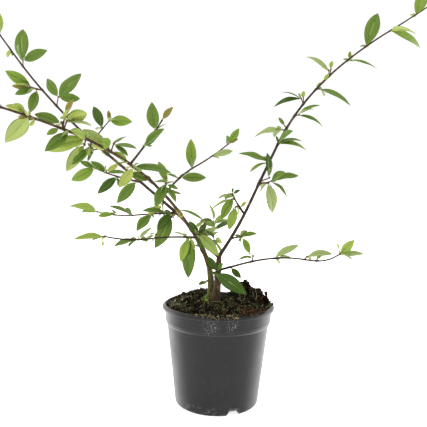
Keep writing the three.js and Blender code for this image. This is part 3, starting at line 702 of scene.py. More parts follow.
def add_bud_wood(sheaf, bud, dice):
    """The spur that holds a bud's leaves, with its knob and the scales round their roots."""
    tip = bud["tip"]
    if bud["has_stalk"]:
        reach = norm(tip - bud["foot"])
        count = max(3, int(reach / 2))
        spine = []
        for step in range(count + 1):
            share = step / count
            centre = bud["foot"] + (tip - bud["foot"]) * share - up(0.05 * reach * share * (1 - share))
            spine.append((centre, (0.9 - 0.2 * share) * (1 + 0.14 * sin(step * 2.4))))
        add_tube(sheaf, spine, SPUR_SIDES, SPUR_LOOK)
    add_lump(sheaf, tip, 0.85 + 0.5 * min(1, bud["size"] / 40), dice, SPUR_LOOK)
    for leaf in bud["leaves"]:
        way = unit(leaf["way"] + 0.35 * leaf["top"])
        for _ in range(2):
            aimed = unit(way + vec(off(dice), off(dice), off(dice)) * 0.9)
            reach = 1.6 + 1.6 * dice()
            spine = [(tip, 0.5), (tip + aimed * reach * 0.5, 0.42), (tip + aimed * reach, 0.08)]
            add_tube(sheaf, spine, SCALE_SIDES, SCALE_LOOK)


# Foliage

STATIONS = 34
LEAFLET_STATIONS = 12
COLUMNS = (-1, -0.84, -0.58, -0.3, -0.05, 0.05, 0.3, 0.58, 0.84, 1)
UNDER_COLUMNS = (-0.72, -0.4, -0.06, 0.06, 0.4, 0.72)
PETIOLE = 2.4
PETIOLE_LIMIT = 0.16
BLADE_BASE_POWER = 0.8
BLADE_TIP_POWER = 0.92
VEIN_PAIRS = 6
VEIN_DEPTH = 0.13
GROOVE_DEPTH = 0.3
LEAF_THICKNESS = 0.3
RIB_RADIUS = 0.34
RIB_SIDES = 5
RIB_STEPS = 12
RIB_END = 0.94
LEAFLET_DROOP = 40
LEAF_SEED = 900
# The deep top is partly the leaves' own darker green and partly painted shade for leaves in shade. The pale
# top is partly painted highlight for leaves lit from above.
TOP_COLOURS = {
    "leaf_deep_and_painted_shade": (50, 73, 16), "leaf_mid": (79, 102, 33), "leaf_fresh": (100, 123, 40),
    "leaf_lime": (120, 139, 56), "leaf_bronze": (112, 103, 42), "leaf_pale_and_painted_highlight": (125, 140, 84),
    "leaf_olive": (92, 108, 40),
}
UNDER_COLOURS = {
    "under_grey": (128, 142, 88), "under_pale": (135, 149, 82), "under_yellow": (143, 154, 76),
    "under_olive": (112, 128, 62),
}
GROOVE_COLOURS = {"groove_dark": (67, 91, 31), "groove_light": (112, 131, 56)}
RIB_COLOURS = {
    "rib_grey": (144, 156, 102), "rib_pale": (152, 160, 92), "rib_yellow": (158, 156, 84),
    "rib_olive": (132, 144, 80),
}

# A leaf's looks count through the tops, the undersides, the grooves and the ribs
FIRST_UNDER = len(TOP_COLOURS)
FIRST_GROOVE = FIRST_UNDER + len(UNDER_COLOURS)
FIRST_RIB = FIRST_GROOVE + len(GROOVE_COLOURS)

# Each top has its letter and its underside. A few leaves of a spray take a tint beside its own.
TINT_LETTERS = "dmflbpo"
UNDER_OF_TOP = (0, 0, 1, 2, 2, 0, 3)
TINT_BESIDE = (1, 2, 1)
OWN_TINT = 0.8
TOP_WEIGHTS = (3, 4, 3, 1)
UNDER_WEIGHTS = (3, 2, 1)
LEAFLET_WEIGHTS = (0, 2, 4, 2, 2)
LEAF_GROUPS = {
    "leaves_right": (
        "right_bough_leaves", "low_right_twig_leaves", "right_foot_twig_leaves", "right_inner_twig_leaves",
    ),
    "leaves_upper_left": ("upper_left_bough_leaves", "low_left_twig_leaves", "left_level_twig_leaves"),
    "leaves_left": ("left_bough_leaves", "inner_twig_leaves", "left_front_twig_leaves"),
    "leaves_middle": (
        "fork_twig_leaves", "bough_side_twig_leaves", "back_twig_leaves", "foot_leaves", "stem_foot_leaves",
    ),
}


def blade_width(share):
    """Half width at a share of the blade, 1 at its widest."""
    peak = BLADE_BASE_POWER / (BLADE_BASE_POWER + BLADE_TIP_POWER)
    most = peak ** BLADE_BASE_POWER * (1 - peak) ** BLADE_TIP_POWER
    share = min(max(share, 0), 1)
    return share ** BLADE_BASE_POWER * (1 - share) ** BLADE_TIP_POWER / most


def add_leaf(sheaf, ribs, leaf, dice, top_look, under_look):
    """A blade with its fold, its waves and its sunken veins, and the rib that stands out under it."""
    length, way, top = leaf["length"], leaf["way"], leaf["top"]
    side = np.cross(way, top)
    slim = LEAF_SLIMNESS * (0.9 + 0.24 * dice())
    fold = 0.1 + 0.28 * dice()
    curl = (dice() - 0.35) * 0.9
    sway = off(dice) * 0.16
    twist = off(dice) * 0.7
    wave = 0.35 * dice()
    phase = 6.28 * dice()
    stalk = min(PETIOLE / length, PETIOLE_LIMIT)
    bow = sin(radians(leaf["droop"]) / 2)

    def middle(share):
        arch = bow * share * (1 - share) * (1 + curl * (share - 0.5)) * length
        return leaf["root"] + way * length * share + top * arch + side * sway * share * (1 - share) * length

    def place(share, across, depth):
        blade = (share - stalk) / (1 - stalk)
        half = length * slim * blade_width(blade)
        turn = twist * (share - 0.4)
        out = side * cos(turn) + top * sin(turn)
        lift = top * cos(turn) - side * sin(turn)
        reach = abs(across)
        rise = half * (fold * reach + 0.5 * reach * (1 - reach) - 0.1 * reach ** 4)
        rise += wave * half * 0.3 * reach ** 2 * sin(9 * share + phase + (2.2 if across > 0 else 0))
        vein = max(0, cos(FULL_TURN * (blade * VEIN_PAIRS - reach * 1.1))) ** 3
        rise -= VEIN_DEPTH * 4 * reach * (1 - reach) * vein * min(1, half / 3)
        if depth == 0:
            rise -= GROOVE_DEPTH * (1 - min(1, reach / 0.3)) * min(1, half / 2)
        return middle(share) + out * across * half + lift * (rise - depth)

    stations = STATIONS if length > SMALL_LEAF else LEAFLET_STATIONS
    rows = []
    for station in range(stations + 1):
        step = station / stations
        share = stalk + (1 - stalk) * (0.5 - 0.5 * cos(pi * step) if step < 1 else 1) ** 0.9
        if station in (0, stations):
            rows.append([place(share, 0, 0)])
        else:
            upper = [place(share, across, 0) for across in COLUMNS]
            lower = [place(share, across, LEAF_THICKNESS) for across in reversed(UNDER_COLUMNS)]
            rows.append(upper + lower)
    looks = [top_look] * (len(COLUMNS) - 1) + [FIRST_UNDER + under_look] * (len(UNDER_COLUMNS) + 1)
    looks[len(COLUMNS) // 2 - 1] = FIRST_GROOVE + (0 if top_look < 3 else 1)
    sheaf.loft(rows, looks)

    spine = []
    for step in range(RIB_STEPS + 1):
        share = step / RIB_STEPS * RIB_END
        thick = RIB_RADIUS * (1 - 0.75 * share) * (0.6 + length / 75)
        centre = middle(share) if share < stalk else place(share, 0, LEAF_THICKNESS * 0.4 + thick * 0.9)
        spine.append((centre, thick))
    add_tube(ribs, spine, RIB_SIDES, under_look)


def make_leaves(stems, masses):
    """All the leaves of a few masses in one piece, with their ribs. Each bud's spray has its own tint."""
    sheaf, ribs = Sheaf(), Sheaf()
    for name in masses:
        dice = seeded(MASSES[name]["seed"] + LEAF_SEED)
        for stem in stems[name]:
            for bud in stem["opened"]:
                for leaf in bud["leaves"]:
                    draw, other = dice(), dice()
                    if bud["tint"]:
                        top_look = TINT_LETTERS.index(bud["tint"])
                        if draw > OWN_TINT and top_look < len(TINT_BESIDE):
                            top_look = TINT_BESIDE[top_look]
                        under_look = UNDER_OF_TOP[top_look]
                    else:
                        top_look, under_look = pick(TOP_WEIGHTS, draw), pick(UNDER_WEIGHTS, other)
                    add_leaf(sheaf, ribs, leaf, dice, top_look, under_look)
                add_leaflets(sheaf, ribs, bud, dice)
    if "stem_foot_leaves" in masses:
        add_weed(sheaf, ribs)
    sheaf.add(ribs.points, ribs.faces, [FIRST_RIB + look for look in ribs.looks])
    return sheaf


def add_weed(sheaf, ribs):
    """The small leaves of a seedling in the soil beside the stems."""
    dice = seeded(WEED_SEED)
    for angle, tilt, length, look in WEED_LEAVES:
        leaf = new_leaf(np.array(WEED_PLACE) + up(1), aim(angle, tilt), 50, length, LEAFLET_DROOP)
        add_leaf(sheaf, ribs, leaf, dice, look, 1)


def add_leaflets(sheaf, ribs, bud, dice):
    """One or two young leaves that open from the heart of a bud, or none."""
    for _ in range(int(dice() * 2.4)):
        first = bud["leaves"][int(dice() * len(bud["leaves"]))]
        way = unit(first["way"] + vec(off(dice), 0.6 * off(dice), dice() - 0.3) * 1.6)
        facing = 180 * dice()
        leaf = new_leaf(bud["tip"], way, facing, 4.5 + 6 * dice(), LEAFLET_DROOP)
        add_leaf(sheaf, ribs, leaf, dice, pick(LEAFLET_WEIGHTS, dice()), 1)


# Soil

SOIL_RINGS = 70
SOIL_TURNS = 150
SOIL_GRAIN = 0.9
CRUMB_SEED = 1201
LITTER_SEED = 2203
WEED_SEED = 77
CRUMBS = 2000
CRUMB_SPREAD = 57.5
CRUMB_LIMIT = 59.5
FIBRES = 620
FIBRE_SPREAD = 56
FIBRE_LIMIT = 58.5
FIBRE_STEPS = 5
FIBRE_SIDES = 4
STRAWS = 210
STRAW_TURN = -88
STRAW_SPREAD = 46
STRAW_SIDES = 5
THREAD_SIDES = 3
RIM_BITS = 60
RIDGE_FIBRES = 90
RIDGE_LIMIT = 58
BACK_FIBRES = 150
BACK_TURN = 205
MOSS_CLUMPS = 66
MOSS_THREADS = 34
MOSS_EDGE = -8
MOSS_TURN = 4
PALE_FIBRES = 26
PALE_PATCH = (-47, -8)
PALE_LIMIT = 57
RED_PATCH = (38, -36)
RED_REACH = 14
RED_TURN = -47
CRUMB_SQUASH = 0.85
CRUMB_DETAIL = 0.9
PILE_CRUMB = 0.7

# How much of each look there is, away from the red patch and near it
CRUMB_LOOKS = (6, 3, 0.6)
RED_CRUMB_LOOKS = (2, 3, 6)
FIBRE_LOOKS = (4, 2.6, 3, 0.6, 1, 3)
RED_FIBRE_LOOKS = (2, 2, 0, 0, 6)
STRAW_LOOKS = (4, 3, 2, 6, 0.3)
RED_STRAW_LOOKS = (3, 0, 0, 0, 5)

# The crumbs are finer round the stems
STEM_PLACE = (-5, 2)
STEM_REACH = 9
STEM_CRUMB = 0.6

# How litter lies on the rim, falls away outside it, and slopes down to the soil inside it
RIM_LIFT = 0.35
RIM_ROUND = 1.5
RIM_FALL = 1.6
SPILL_RADIUS = 60
SPILL_SLOPE = 0.45

# Crumbs on the rim: from one bearing to another, how many, and the weights of their looks
RIM_CRUMBS = (
    (-112, -62, 130, (6, 4, 0.5)), (-72, -30, 170, (3, 3, 4)), (-12, 24, 90, (6, 4, 0.5)),
    (28, 70, 70, (6, 4, 1)),
)

# Piles of crumbs: x, y, radius, height, range of a crumb's size, how many, and the weights of their looks
PILES = (
    (54, 9, 7, 8, 2.2, 110, (5, 4, 1)), (56, 5, 3.3, 19, 1.6, 120, (6, 3, 0)),
    (33, 36, 12, 5, 2.4, 150, (5, 4, 1)), (48, 22, 9, 3, 2.2, 90, (5, 4, 1)),
    (-44, 26, 6, 3, 1.6, 40, (6, 3, 0)), (38, -40, 11, 5, 1.8, 120, (1, 2, 7)),
    (6, -50, 12, 3, 1.3, 120, (5, 3, 1)), (-26, -44, 11, 3, 1.3, 90, (6, 3, 0)),
)

# A stick, and the clod inside the tallest pile: x, y, z and radius
STICK = ((50, 8, 121, 0.5), (57, 6, 119.5, 0.45), (62, 5, 121, 0.5), (66.5, 4, 119, 0.2))
CLOD = (
    (56, 5, 111, 1.8), (56.4, 4.8, 116, 1.5), (55.8, 5.2, 121, 1.2), (56.3, 5, 126, 0.9),
    (56.1, 5.1, 130, 0.5),
)

# A seedling: its place, its bud beside it, and the angle, tilt, length and look of each of its leaves
WEED_PLACE = (-15.5, -1.5, 117.6)
WEED_BUD = (2, -8, 1.6)
WEED_LEAVES = ((150, 30, 7, 0), (72, 20, 9, 1), (40, -20, 7, 0), (110, 50, 8, 1), (170, -10, 6, 1))

CRUMB_COLOURS = {
    "crumb_dark": ((11, 9, 7), (25, 20, 15)), "crumb_brown": ((29, 22, 15), (52, 41, 29)),
    "crumb_red": ((52, 33, 22), (84, 58, 38)),
}
LITTER_COLOURS = {
    "root_fibre": ((54, 44, 33), (28, 22, 17)), "tan_fibre": ((136, 124, 98), (88, 76, 58)),
    "moss": ((48, 54, 29), (28, 33, 17)), "straw": ((140, 134, 90), (96, 90, 56)),
    "red_fibre": ((94, 68, 50), (56, 39, 29)), "pale_moss": ((112, 115, 80), (70, 76, 46)),
    "sprout": ((120, 138, 42), (92, 112, 30)), "pale_fibre": ((176, 176, 144), (132, 130, 98)),
}
ROOT_LOOK, SPROUT_LOOK, PALE_LOOK = 0, 6, 7
DRY_WEIGHTS = (6, 1, 1, 0, 1)


def soil_height(x, y):
    """The soil's surface, heaped as in the source but with its two right heaps a little lower."""
    share = (hypot(x, y) - SOIL_FLAT_RADIUS) / (RIM_INNER_RADIUS - SOIL_FLAT_RADIUS)
    share = min(max(share, 0), 1)
    height = SOIL_TOP - share * share * (SOIL_TOP - SOIL_EDGE_HEIGHT)
    fade = min(1, share / 0.22) * min(1, (1 - share) / 0.12)
    for heap_x, heap_y, heap, reach in HEAPS:
        gap = (x - heap_x) ** 2 + (y - heap_y) ** 2
        height += fade * heap * exp(-gap / reach ** 2)
    return height


def soil_grain(x, y):
    """The crumbled unevenness of the surface."""
    return SOIL_GRAIN * (smooth_noise((x, y, 0), 0.12, 21) + 0.7 * smooth_noise((x, y, 0), 0.45, 33))


def ground(x, y, lift=0):
    """A place on the soil, or lifted above it or sunk below it."""
    return vec(x, y, soil_height(x, y) + soil_grain(x, y) + lift)


def random_ground(dice, spread):
    """A random place on the soil, within a circle."""
    while True:
        x, y = stray(dice, spread), stray(dice, spread)
        if hypot(x, y) < spread:
            return ground(x, y)


def near_red(spot, reach=RED_REACH):
    """Whether a place is near the patch of reddish crumbs."""
    return hypot(spot[0] - RED_PATCH[0], spot[1] - RED_PATCH[1]) < reach


def inside_profile(inset):
    """Half the section of the pot's inside, from the middle of its floor to the top of the soil's edge."""
    floor = FLOOR_LIFT + WALL + inset
    lean = (SHOULDER_RADIUS - BASE_RADIUS) / SHOULDER_HEIGHT

    def wall_at(height):
        return BASE_RADIUS + lean * height - WALL - inset

    return [
        (0, WALL + inset), (PAD_RADIUS - WALL - inset, WALL + inset),
        (PAD_RADIUS + PAD_SLOPE - WALL - inset, floor), (wall_at(floor), floor),
        (wall_at(SHOULDER_HEIGHT), SHOULDER_HEIGHT),
        (RIM_INNER_RADIUS - inset - 0.4, SHOULDER_HEIGHT + 9), (RIM_INNER_RADIUS - inset, SOIL_EDGE_HEIGHT),
    ]


def turned(profile, turns, place=vec):
    """A profile of (radius, height) turned about the upright axis. It starts and ends on the axis."""
    rows = []
    for radius, height in profile:
        if radius < TINY:
            rows.append([up(height)])
        else:
            ways = [2 * pi * step / turns for step in range(turns)]
            rows.append([place(radius * cos(turn), radius * sin(turn), height) for turn in ways])
    sheaf = Sheaf()
    sheaf.loft(rows, 0)
    return sheaf


def make_soil():
    """The body of soil, with an uneven top, whose heights the profile leaves open."""
    surface = RIM_INNER_RADIUS - GAP
    shares = [1 - (ring + 0.5) / SOIL_RINGS for ring in range(SOIL_RINGS)]
    profile = [*inside_profile(GAP), *[(surface * share, None) for share in shares], (0, SOIL_TOP)]

    def place(x, y, height):
        if height is not None:
            return x, y, height
        edge = min(1, (surface - hypot(x, y)) / 2)
        return x, y, soil_height(x, y) + soil_grain(x, y) * edge

    return turned(profile, SOIL_TURNS, place)


def add_crumb(sheaf, spot, size, dice, weights):
    add_lump(sheaf, spot, size, dice, pick(weights, dice()), CRUMB_SQUASH, CRUMB_DETAIL)


def make_crumbs():
    """Loose crumbs of bark and earth all over the soil, piled up in places, and on the rim."""
    sheaf = Sheaf()
    dice = seeded(CRUMB_SEED)
    for _ in range(CRUMBS):
        spot = random_ground(dice, CRUMB_SPREAD)
        size = 0.5 + 1.7 * dice() ** 3
        if hypot(spot[0] - STEM_PLACE[0], spot[1] - STEM_PLACE[1]) < STEM_REACH:
            size *= STEM_CRUMB
        weights = RED_CRUMB_LOOKS if near_red(spot) else CRUMB_LOOKS
        add_crumb(sheaf, spot + up(size / 4), size, dice, weights)
    for pile_x, pile_y, radius, height, size_range, count, weights in PILES:
        for _ in range(count):
            turn, share = FULL_TURN * dice(), dice() ** 0.6
            x = pile_x + radius * share * cos(turn)
            y = pile_y + radius * share * sin(turn)
            if hypot(x, y) < CRUMB_LIMIT:
                size = PILE_CRUMB + size_range * dice() ** 2
                spot = ground(x, y, height * (1 - share) * (0.3 + 0.7 * dice()))
                add_crumb(sheaf, spot, size, dice, weights)
    for first, last, count, weights in RIM_CRUMBS:
        for _ in range(count):
            turn = radians(first + (last - first) * (0.5 + off(dice) * (0.4 + 0.6 * dice())))
            far = 56 + 8.2 * dice() ** 1.4
            size = 0.5 + 0.9 * dice() ** 2
            add_crumb(sheaf, rim_spot(turn, far, 0, size * 0.3), size, dice, weights)
    return sheaf


def add_fibre(sheaf, dice, spot, reach, lift, thick, look):
    """A fibre that lies curved over the soil and lifts off it between its ends."""
    turn, bend = FULL_TURN * dice(), 2.6 * off(dice)
    tilt = lift * (dice() - 0.3)
    spine = []
    for step in range(FIBRE_STEPS + 1):
        share = step / FIBRE_STEPS
        way = turn + bend * share
        x = spot[0] + reach * (share - 0.5) * cos(way)
        y = spot[1] + reach * (share - 0.5) * sin(way)
        if hypot(x, y) > FIBRE_LIMIT:
            break
        place = ground(x, y, 0.3 + lift * share * (1 - share) * 2 + tilt * share)
        spine.append((place, thick * (0.8 + 0.4 * dice())))
    if len(spine) > 2:
        add_tube(sheaf, spine, FIBRE_SIDES, look)


def add_sprig(sheaf, foot, lean, bend, thick, look, sides=FIBRE_SIDES, middle=0.5):
    """A short fibre that rises from its foot, bent at its middle. thick is at its foot, middle and tip."""
    places = (foot, foot + lean * middle + bend, foot + lean)
    add_tube(sheaf, list(zip(places, thick)), sides, look)


def add_moss(sheaf, dice):
    """Clumps of moss, each of many short threads that lean over."""
    for _ in range(MOSS_CLUMPS):
        spot = random_ground(dice, FIBRE_SPREAD)
        if near_red(spot, RED_REACH * 0.7):
            continue
        wide = 2 + 4 * dice()
        shade = 4 if spot[0] < MOSS_EDGE else 1.6
        for _ in range(MOSS_THREADS):
            x = spot[0] + wide * off(dice) * 2
            y = spot[1] + wide * off(dice) * 2
            if hypot(x, y) > FIBRE_LIMIT:
                continue
            reach = 1.8 + 3.2 * dice()
            look = pick((1, 0.4, 4, 0, 0, shade), dice())
            lean = unit(vec(off(dice), off(dice), 0.15 + 0.5 * dice())) * reach
            bend, widths = up(0.12 * reach), (0.24, 0.22, 0.06)
            add_sprig(sheaf, ground(x, y, -0.2), lean, bend, widths, look, THREAD_SIDES)


def add_straw(sheaf, dice):
    """Straw and bits of fibre at the rim: in front, by the red patch and by the moss."""
    for _ in range(STRAWS):
        turn = radians(STRAW_TURN + STRAW_SPREAD * off(dice) * (0.3 + dice()))
        reach = 50 + 15 * dice()
        add_rim_bit(sheaf, dice, turn, reach, pick(STRAW_LOOKS, dice()))
    for _ in range(RIM_BITS):
        turn = radians(RED_TURN + 30 * off(dice))
        add_rim_bit(sheaf, dice, turn, 52 + 12 * dice(), pick(RED_STRAW_LOOKS, dice()))
        turn = radians(MOSS_TURN + 50 * off(dice))
        add_rim_bit(sheaf, dice, turn, 56 + 6 * dice(), pick((2, 1, 5, 0, 0, 4), dice()))


def add_sprigs(sheaf, dice):
    """Fibres that stand up from the heaps, from the pale patch and along the back."""
    for heap_x, heap_y, _, reach in HEAPS:
        for _ in range(RIDGE_FIBRES):
            x = heap_x + reach * off(dice) * 1.7
            y = heap_y + reach * off(dice) * 1.7
            if hypot(x, y) > RIDGE_LIMIT:
                continue
            lean = vec(off(dice), off(dice), 0.4 + dice()) * (2.5 + 4 * dice() ** 2)
            bend = vec(off(dice), off(dice), 0) * 1.5
            thick = 0.26 + 0.2 * dice()
            widths = (thick, thick * 0.8, thick * 0.35)
            foot = vec(x, y, soil_height(x, y) - 0.5)
            add_sprig(sheaf, foot, lean, bend, widths, pick(DRY_WEIGHTS, dice()), middle=0.6)
    for _ in range(PALE_FIBRES):
        x, y = PALE_PATCH[0] + 20 * off(dice), PALE_PATCH[1] + 30 * off(dice)
        if hypot(x, y) < PALE_LIMIT:
            lean = vec(stray(dice, 1), off(dice), 0.4 + 0.8 * dice()) * (2.5 + 2.5 * dice())
            add_sprig(sheaf, ground(x, y), lean, vec(0.4, 0, 0.4), (0.3, 0.34, 0.12), PALE_LOOK)
    for _ in range(BACK_FIBRES):
        turn = radians(BACK_TURN * dice())
        reach = 40 + 17 * dice()
        foot = ground(reach * cos(turn), reach * sin(turn), -0.3)
        lean = vec(off(dice), off(dice), 0.3 + dice()) * (2 + 5 * dice() ** 3)
        thick = 0.3 + 0.25 * dice()
        add_sprig(sheaf, foot, lean, up(0), (thick, thick, thick * 0.4), pick(DRY_WEIGHTS, dice()))


def make_litter():
    """Fibres, straw and moss on the soil, with some of them over the pot's rim."""
    sheaf = Sheaf()
    dice = seeded(LITTER_SEED)
    for _ in range(FIBRES):
        spot = random_ground(dice, FIBRE_SPREAD)
        look = pick(RED_FIBRE_LOOKS if near_red(spot) else FIBRE_LOOKS, dice())
        add_fibre(sheaf, dice, spot, 3 + 8 * dice(), 3 * dice(), 0.16 + 0.24 * dice() ** 2, look)
    add_moss(sheaf, dice)
    add_straw(sheaf, dice)
    add_sprigs(sheaf, dice)
    add_tube(sheaf, [((x, y, z), reach) for x, y, z, reach in STICK], 6, ROOT_LOOK)
    add_tube(sheaf, [((x, y, z), reach) for x, y, z, reach in CLOD], 7, ROOT_LOOK, bark_relief(0.5, 2))
    for _ in range(3):
        add_lump(sheaf, np.array(WEED_PLACE) + np.array(WEED_BUD), 2.4, dice, SPROUT_LOOK, 1.0, 0.15)
    return sheaf


def rim_spot(turn, far, across, lift):
    """A place at or near the rim. Over the rim it lies on it, and beyond the rim it hangs down."""
    out = vec(cos(turn), sin(turn), 0)
    side = vec(-out[1], out[0], 0)
    spot = out * far + side * across
    height = POT_HEIGHT + RIM_LIFT
    if far > RIM_RADIUS - RIM_ROUND:
        height -= (far - RIM_RADIUS + RIM_ROUND) * RIM_FALL
    elif far <= RIM_INNER_RADIUS - 1:
        height = max(ground(spot[0], spot[1], 0.3)[2], height - (SPILL_RADIUS - far) * SPILL_SLOPE)
    return spot + up(height + lift)


def add_rim_bit(sheaf, dice, turn, reach, look):
    """A bit of straw or fibre near the rim. One that reaches the rim lies on it and may hang over."""
    half = 1 + 2.8 * dice() ** 2
    lean = stray(dice, 0.7)
    lift = 0.5 * dice()
    thick = 0.16 + 0.2 * dice()
    spine = []
    for share in (-1, -0.35, 0.35, 1):
        far = min(reach + half * share * lean, RIM_RADIUS + 0.9)
        spot = rim_spot(turn, far, half * share * (1 - abs(lean)), lift)
        spine.append((spot + up(0.6 * dice()), thick))
    add_tube(sheaf, spine, STRAW_SIDES, look)


# Pot

def rounded(profile, reach):
    """A profile whose corners are rounded over a short reach."""
    smooth = [profile[0]]
    for before, corner, after in zip(profile, profile[1:], profile[2:]):
        before, corner, after = (np.array(point, float) for point in (before, corner, after))
        back, forth = before - corner, after - corner
        back *= min(reach, 0.45 * norm(back)) / norm(back)
        forth *= min(reach, 0.45 * norm(forth)) / norm(forth)
        for step in range(CORNER_STEPS + 1):
            t = step / CORNER_STEPS
            smooth.append(tuple(corner + back * (1 - t) ** 2 + forth * t ** 2))
    return [*smooth, profile[-1]]


def make_pot():
    """The pot's shell, before its notches and drain holes are cut."""
    fillet = []
    for step in range(FILLET_STEPS + 1):
        turn = radians(90 * step / FILLET_STEPS)
        fillet.append((BASE_RADIUS - BASE_FILLET * (1 - sin(turn)), BASE_FILLET * (1 - cos(turn))))
    outside = [
        (PAD_RADIUS, 0), (PAD_RADIUS + PAD_SLOPE, FLOOR_LIFT), (FOOT_INNER_RADIUS - 1.5, FLOOR_LIFT),
        (FOOT_INNER_RADIUS, 0), *fillet, (SHOULDER_RADIUS, SHOULDER_HEIGHT),
        (SHOULDER_RADIUS + 1, SHOULDER_HEIGHT + 1.2), (BAND_RADIUS - 0.6, SHOULDER_HEIGHT + 5),
        (BAND_RADIUS + 0.2, LIP_BOTTOM + 2.4), (RIM_RADIUS - 0.2, LIP_BOTTOM + 2.6),
        (RIM_RADIUS, LIP_BOTTOM + 3.4), (RIM_RADIUS, LIP_BOTTOM + 4.4), (RIM_RADIUS - 1.1, POT_HEIGHT - 1.3),
        (RIM_RADIUS - 2.3, POT_HEIGHT - 0.9), (RIM_RADIUS - 3, POT_HEIGHT - 0.1),
        (RIM_INNER_RADIUS + 0.6, POT_HEIGHT),
    ]
    profile = rounded([(0, 0), *outside, *reversed(inside_profile(0))], CORNER_ROUND)
    walled = []
    for start, end in zip(profile, profile[1:]):
        walled.append(start)
        count = int(hypot(end[0] - start[0], end[1] - start[1]) / WALL_STEP)
        for step in range(1, count):
            share = step / count
            walled.append((start[0] + (end[0] - start[0]) * share, start[1] + (end[1] - start[1]) * share))
    return turned([*walled, profile[-1]], POT_SEGMENTS)


def make_cutters():
    """The notches in the foot and the drain holes, as solids to cut with."""
    sheaf = Sheaf()
    half = NOTCH_WIDTH / 2
    arc = []
    for step in range(NOTCH_STEPS + 1):
        turn = radians(90 * step / NOTCH_STEPS)
        x = NOTCH_TOP_WIDTH / 2 - NOTCH_ROUND * (1 - cos(turn))
        arc.append((x, NOTCH_HEIGHT - NOTCH_ROUND * (1 - sin(turn))))
    section = [(-half, -1), (half, -1), (half, 0), *arc, *[(-x, z) for x, z in reversed(arc)], (-half, 0)]
    for index in range(NOTCH_COUNT):
        turn = radians(NOTCH_ANGLE + index * 360 / NOTCH_COUNT)
        out, side = vec(cos(turn), sin(turn), 0), vec(-sin(turn), cos(turn), 0)
        far = FOOT_INNER_RADIUS + NOTCH_DEPTH - WALL * 2
        rows = [[out * reach + side * x + up(z) for x, z in section] for reach in (far - NOTCH_DEPTH, far)]
        sheaf.loft(rows, 0, capped=True)
    for index in range(DRAIN_COUNT):
        turn = radians(index * 360 / DRAIN_COUNT)
        centre = vec(DRAIN_CIRCLE * cos(turn), DRAIN_CIRCLE * sin(turn), FLOOR_LIFT + WALL / 2)
        ends = [(centre + up(FLOOR_LIFT / 2 * way), DRAIN_RADIUS) for way in (-1, 1)]
        add_tube(sheaf, ends, DRAIN_SIDES, 0)
    return sheaf


def cut(piece, cutter):
    """Cuts one piece with another and drops the cutter."""
    modifier = piece.modifiers.new("cut", "BOOLEAN")
    modifier.operation = "DIFFERENCE"
    modifier.object = cutter
    modifier.solver = "EXACT"
    shape = bpy.data.meshes.new_from_object(piece.evaluated_get(bpy.context.evaluated_depsgraph_get()))
    piece.modifiers.clear()
    piece.data = shape
    bpy.data.objects.remove(cutter)


# Materials

def colour(red, green, blue):
    """A display colour from 0 to 255 as the shader's linear one."""
    def linear(value):
        value /= 255
        return value / 12.92 if value <= 0.04045 else ((value + 0.055) / 1.055) ** 2.4
    return (linear(red), linear(green), linear(blue), 1)


class Paint:
    """A material made of nodes, laid out by the calls below. Colours are given as display colours."""

    def __init__(self, name, base, roughness, specular):
        self.material = bpy.data.materials.new(name)
        self.material.use_nodes = True
        self.tree = self.material.node_tree
        self.shader = self.tree.nodes["Principled BSDF"]
        self.material.diffuse_color = colour(*base)
        self.feed(self.shader, {
            "Base Color": colour(*base), "Roughness": roughness, "Specular IOR Level": specular,
        })
        self.place = self.node("TexCoord", {}, "Object")

    def feed(self, node, inputs):
        """Links each input to a source, or gives it a plain value."""
        for socket, source in inputs.items():
            if isinstance(source, (int, float, tuple)):
                node.inputs[socket].default_value = source
            else:
                self.tree.links.new(source, node.inputs[socket])

    def node(self, kind, inputs, output, **settings):
        """A node of a kind, and one of its outputs."""
        node = self.tree.nodes.new("ShaderNode" + kind)
        for name, value in settings.items():
            setattr(node, name, value)
        self.feed(node, inputs)
        return node.outputs[output]

    def stretched(self, z):
        """The place, stretched upwards."""
        return self.node("Mapping", {"Scale": (1, 1, z), "Vector": self.place}, "Vector")

    def noise(self, scale, detail=3, roughness=0.55, at=None):
        inputs = {"Scale": scale, "Detail": detail, "Roughness": roughness, "Vector": at or self.place}
        return self.node("TexNoise", inputs, "Fac")

    def ease(self, value, low, high, start=0, end=1):
        """A value brought from one range into another, with soft ends."""
        inputs = {"Value": value, "From Min": low, "From Max": high, "To Min": start, "To Max": end}
        return self.node("MapRange", inputs, "Result", interpolation_type="SMOOTHSTEP")

    def maths(self, operation, one, two):
        return self.node("Math", {0: one, 1: two}, "Value", operation=operation)

    def blend(self, factor, one, two):
        one, two = (colour(*value) if isinstance(value, tuple) else value for value in (one, two))
        return self.node("Mix", {0: factor, 6: one, 7: two}, 2, data_type="RGBA")

    def near(self, centre, reach):
        """How near a place is to a centre given in millimetres: 1 there and 0 past the reach."""
        inputs = {0: self.place, 1: tuple(c * MM for c in centre)}
        gap = self.node("VectorMath", inputs, "Value", operation="DISTANCE")
        return self.ease(gap, reach[0] * MM, reach[1] * MM, 1, 0)

    def turned_away(self):
        """How far the surface turns from the eye: 0 square on and 1 at the very edge."""
        return self.node("LayerWeight", {"Blend": 0.5}, "Facing")

    def height(self):
        return self.node("SeparateXYZ", {"Vector": self.place}, "Z")

    def bump(self, height, strength, distance, normal=None):
        inputs = {"Strength": strength, "Distance": distance * MM, "Height": height}
        if normal:
            inputs["Normal"] = normal
        bumped = self.node("Bump", inputs, "Normal")
        self.feed(self.shader, {"Normal": bumped})
        return bumped

    def finish(self, base=None, roughness=None):
        looks = {"Base Color": base, "Roughness": roughness}
        self.feed(self.shader, {socket: source for socket, source in looks.items() if source})
        return self.material


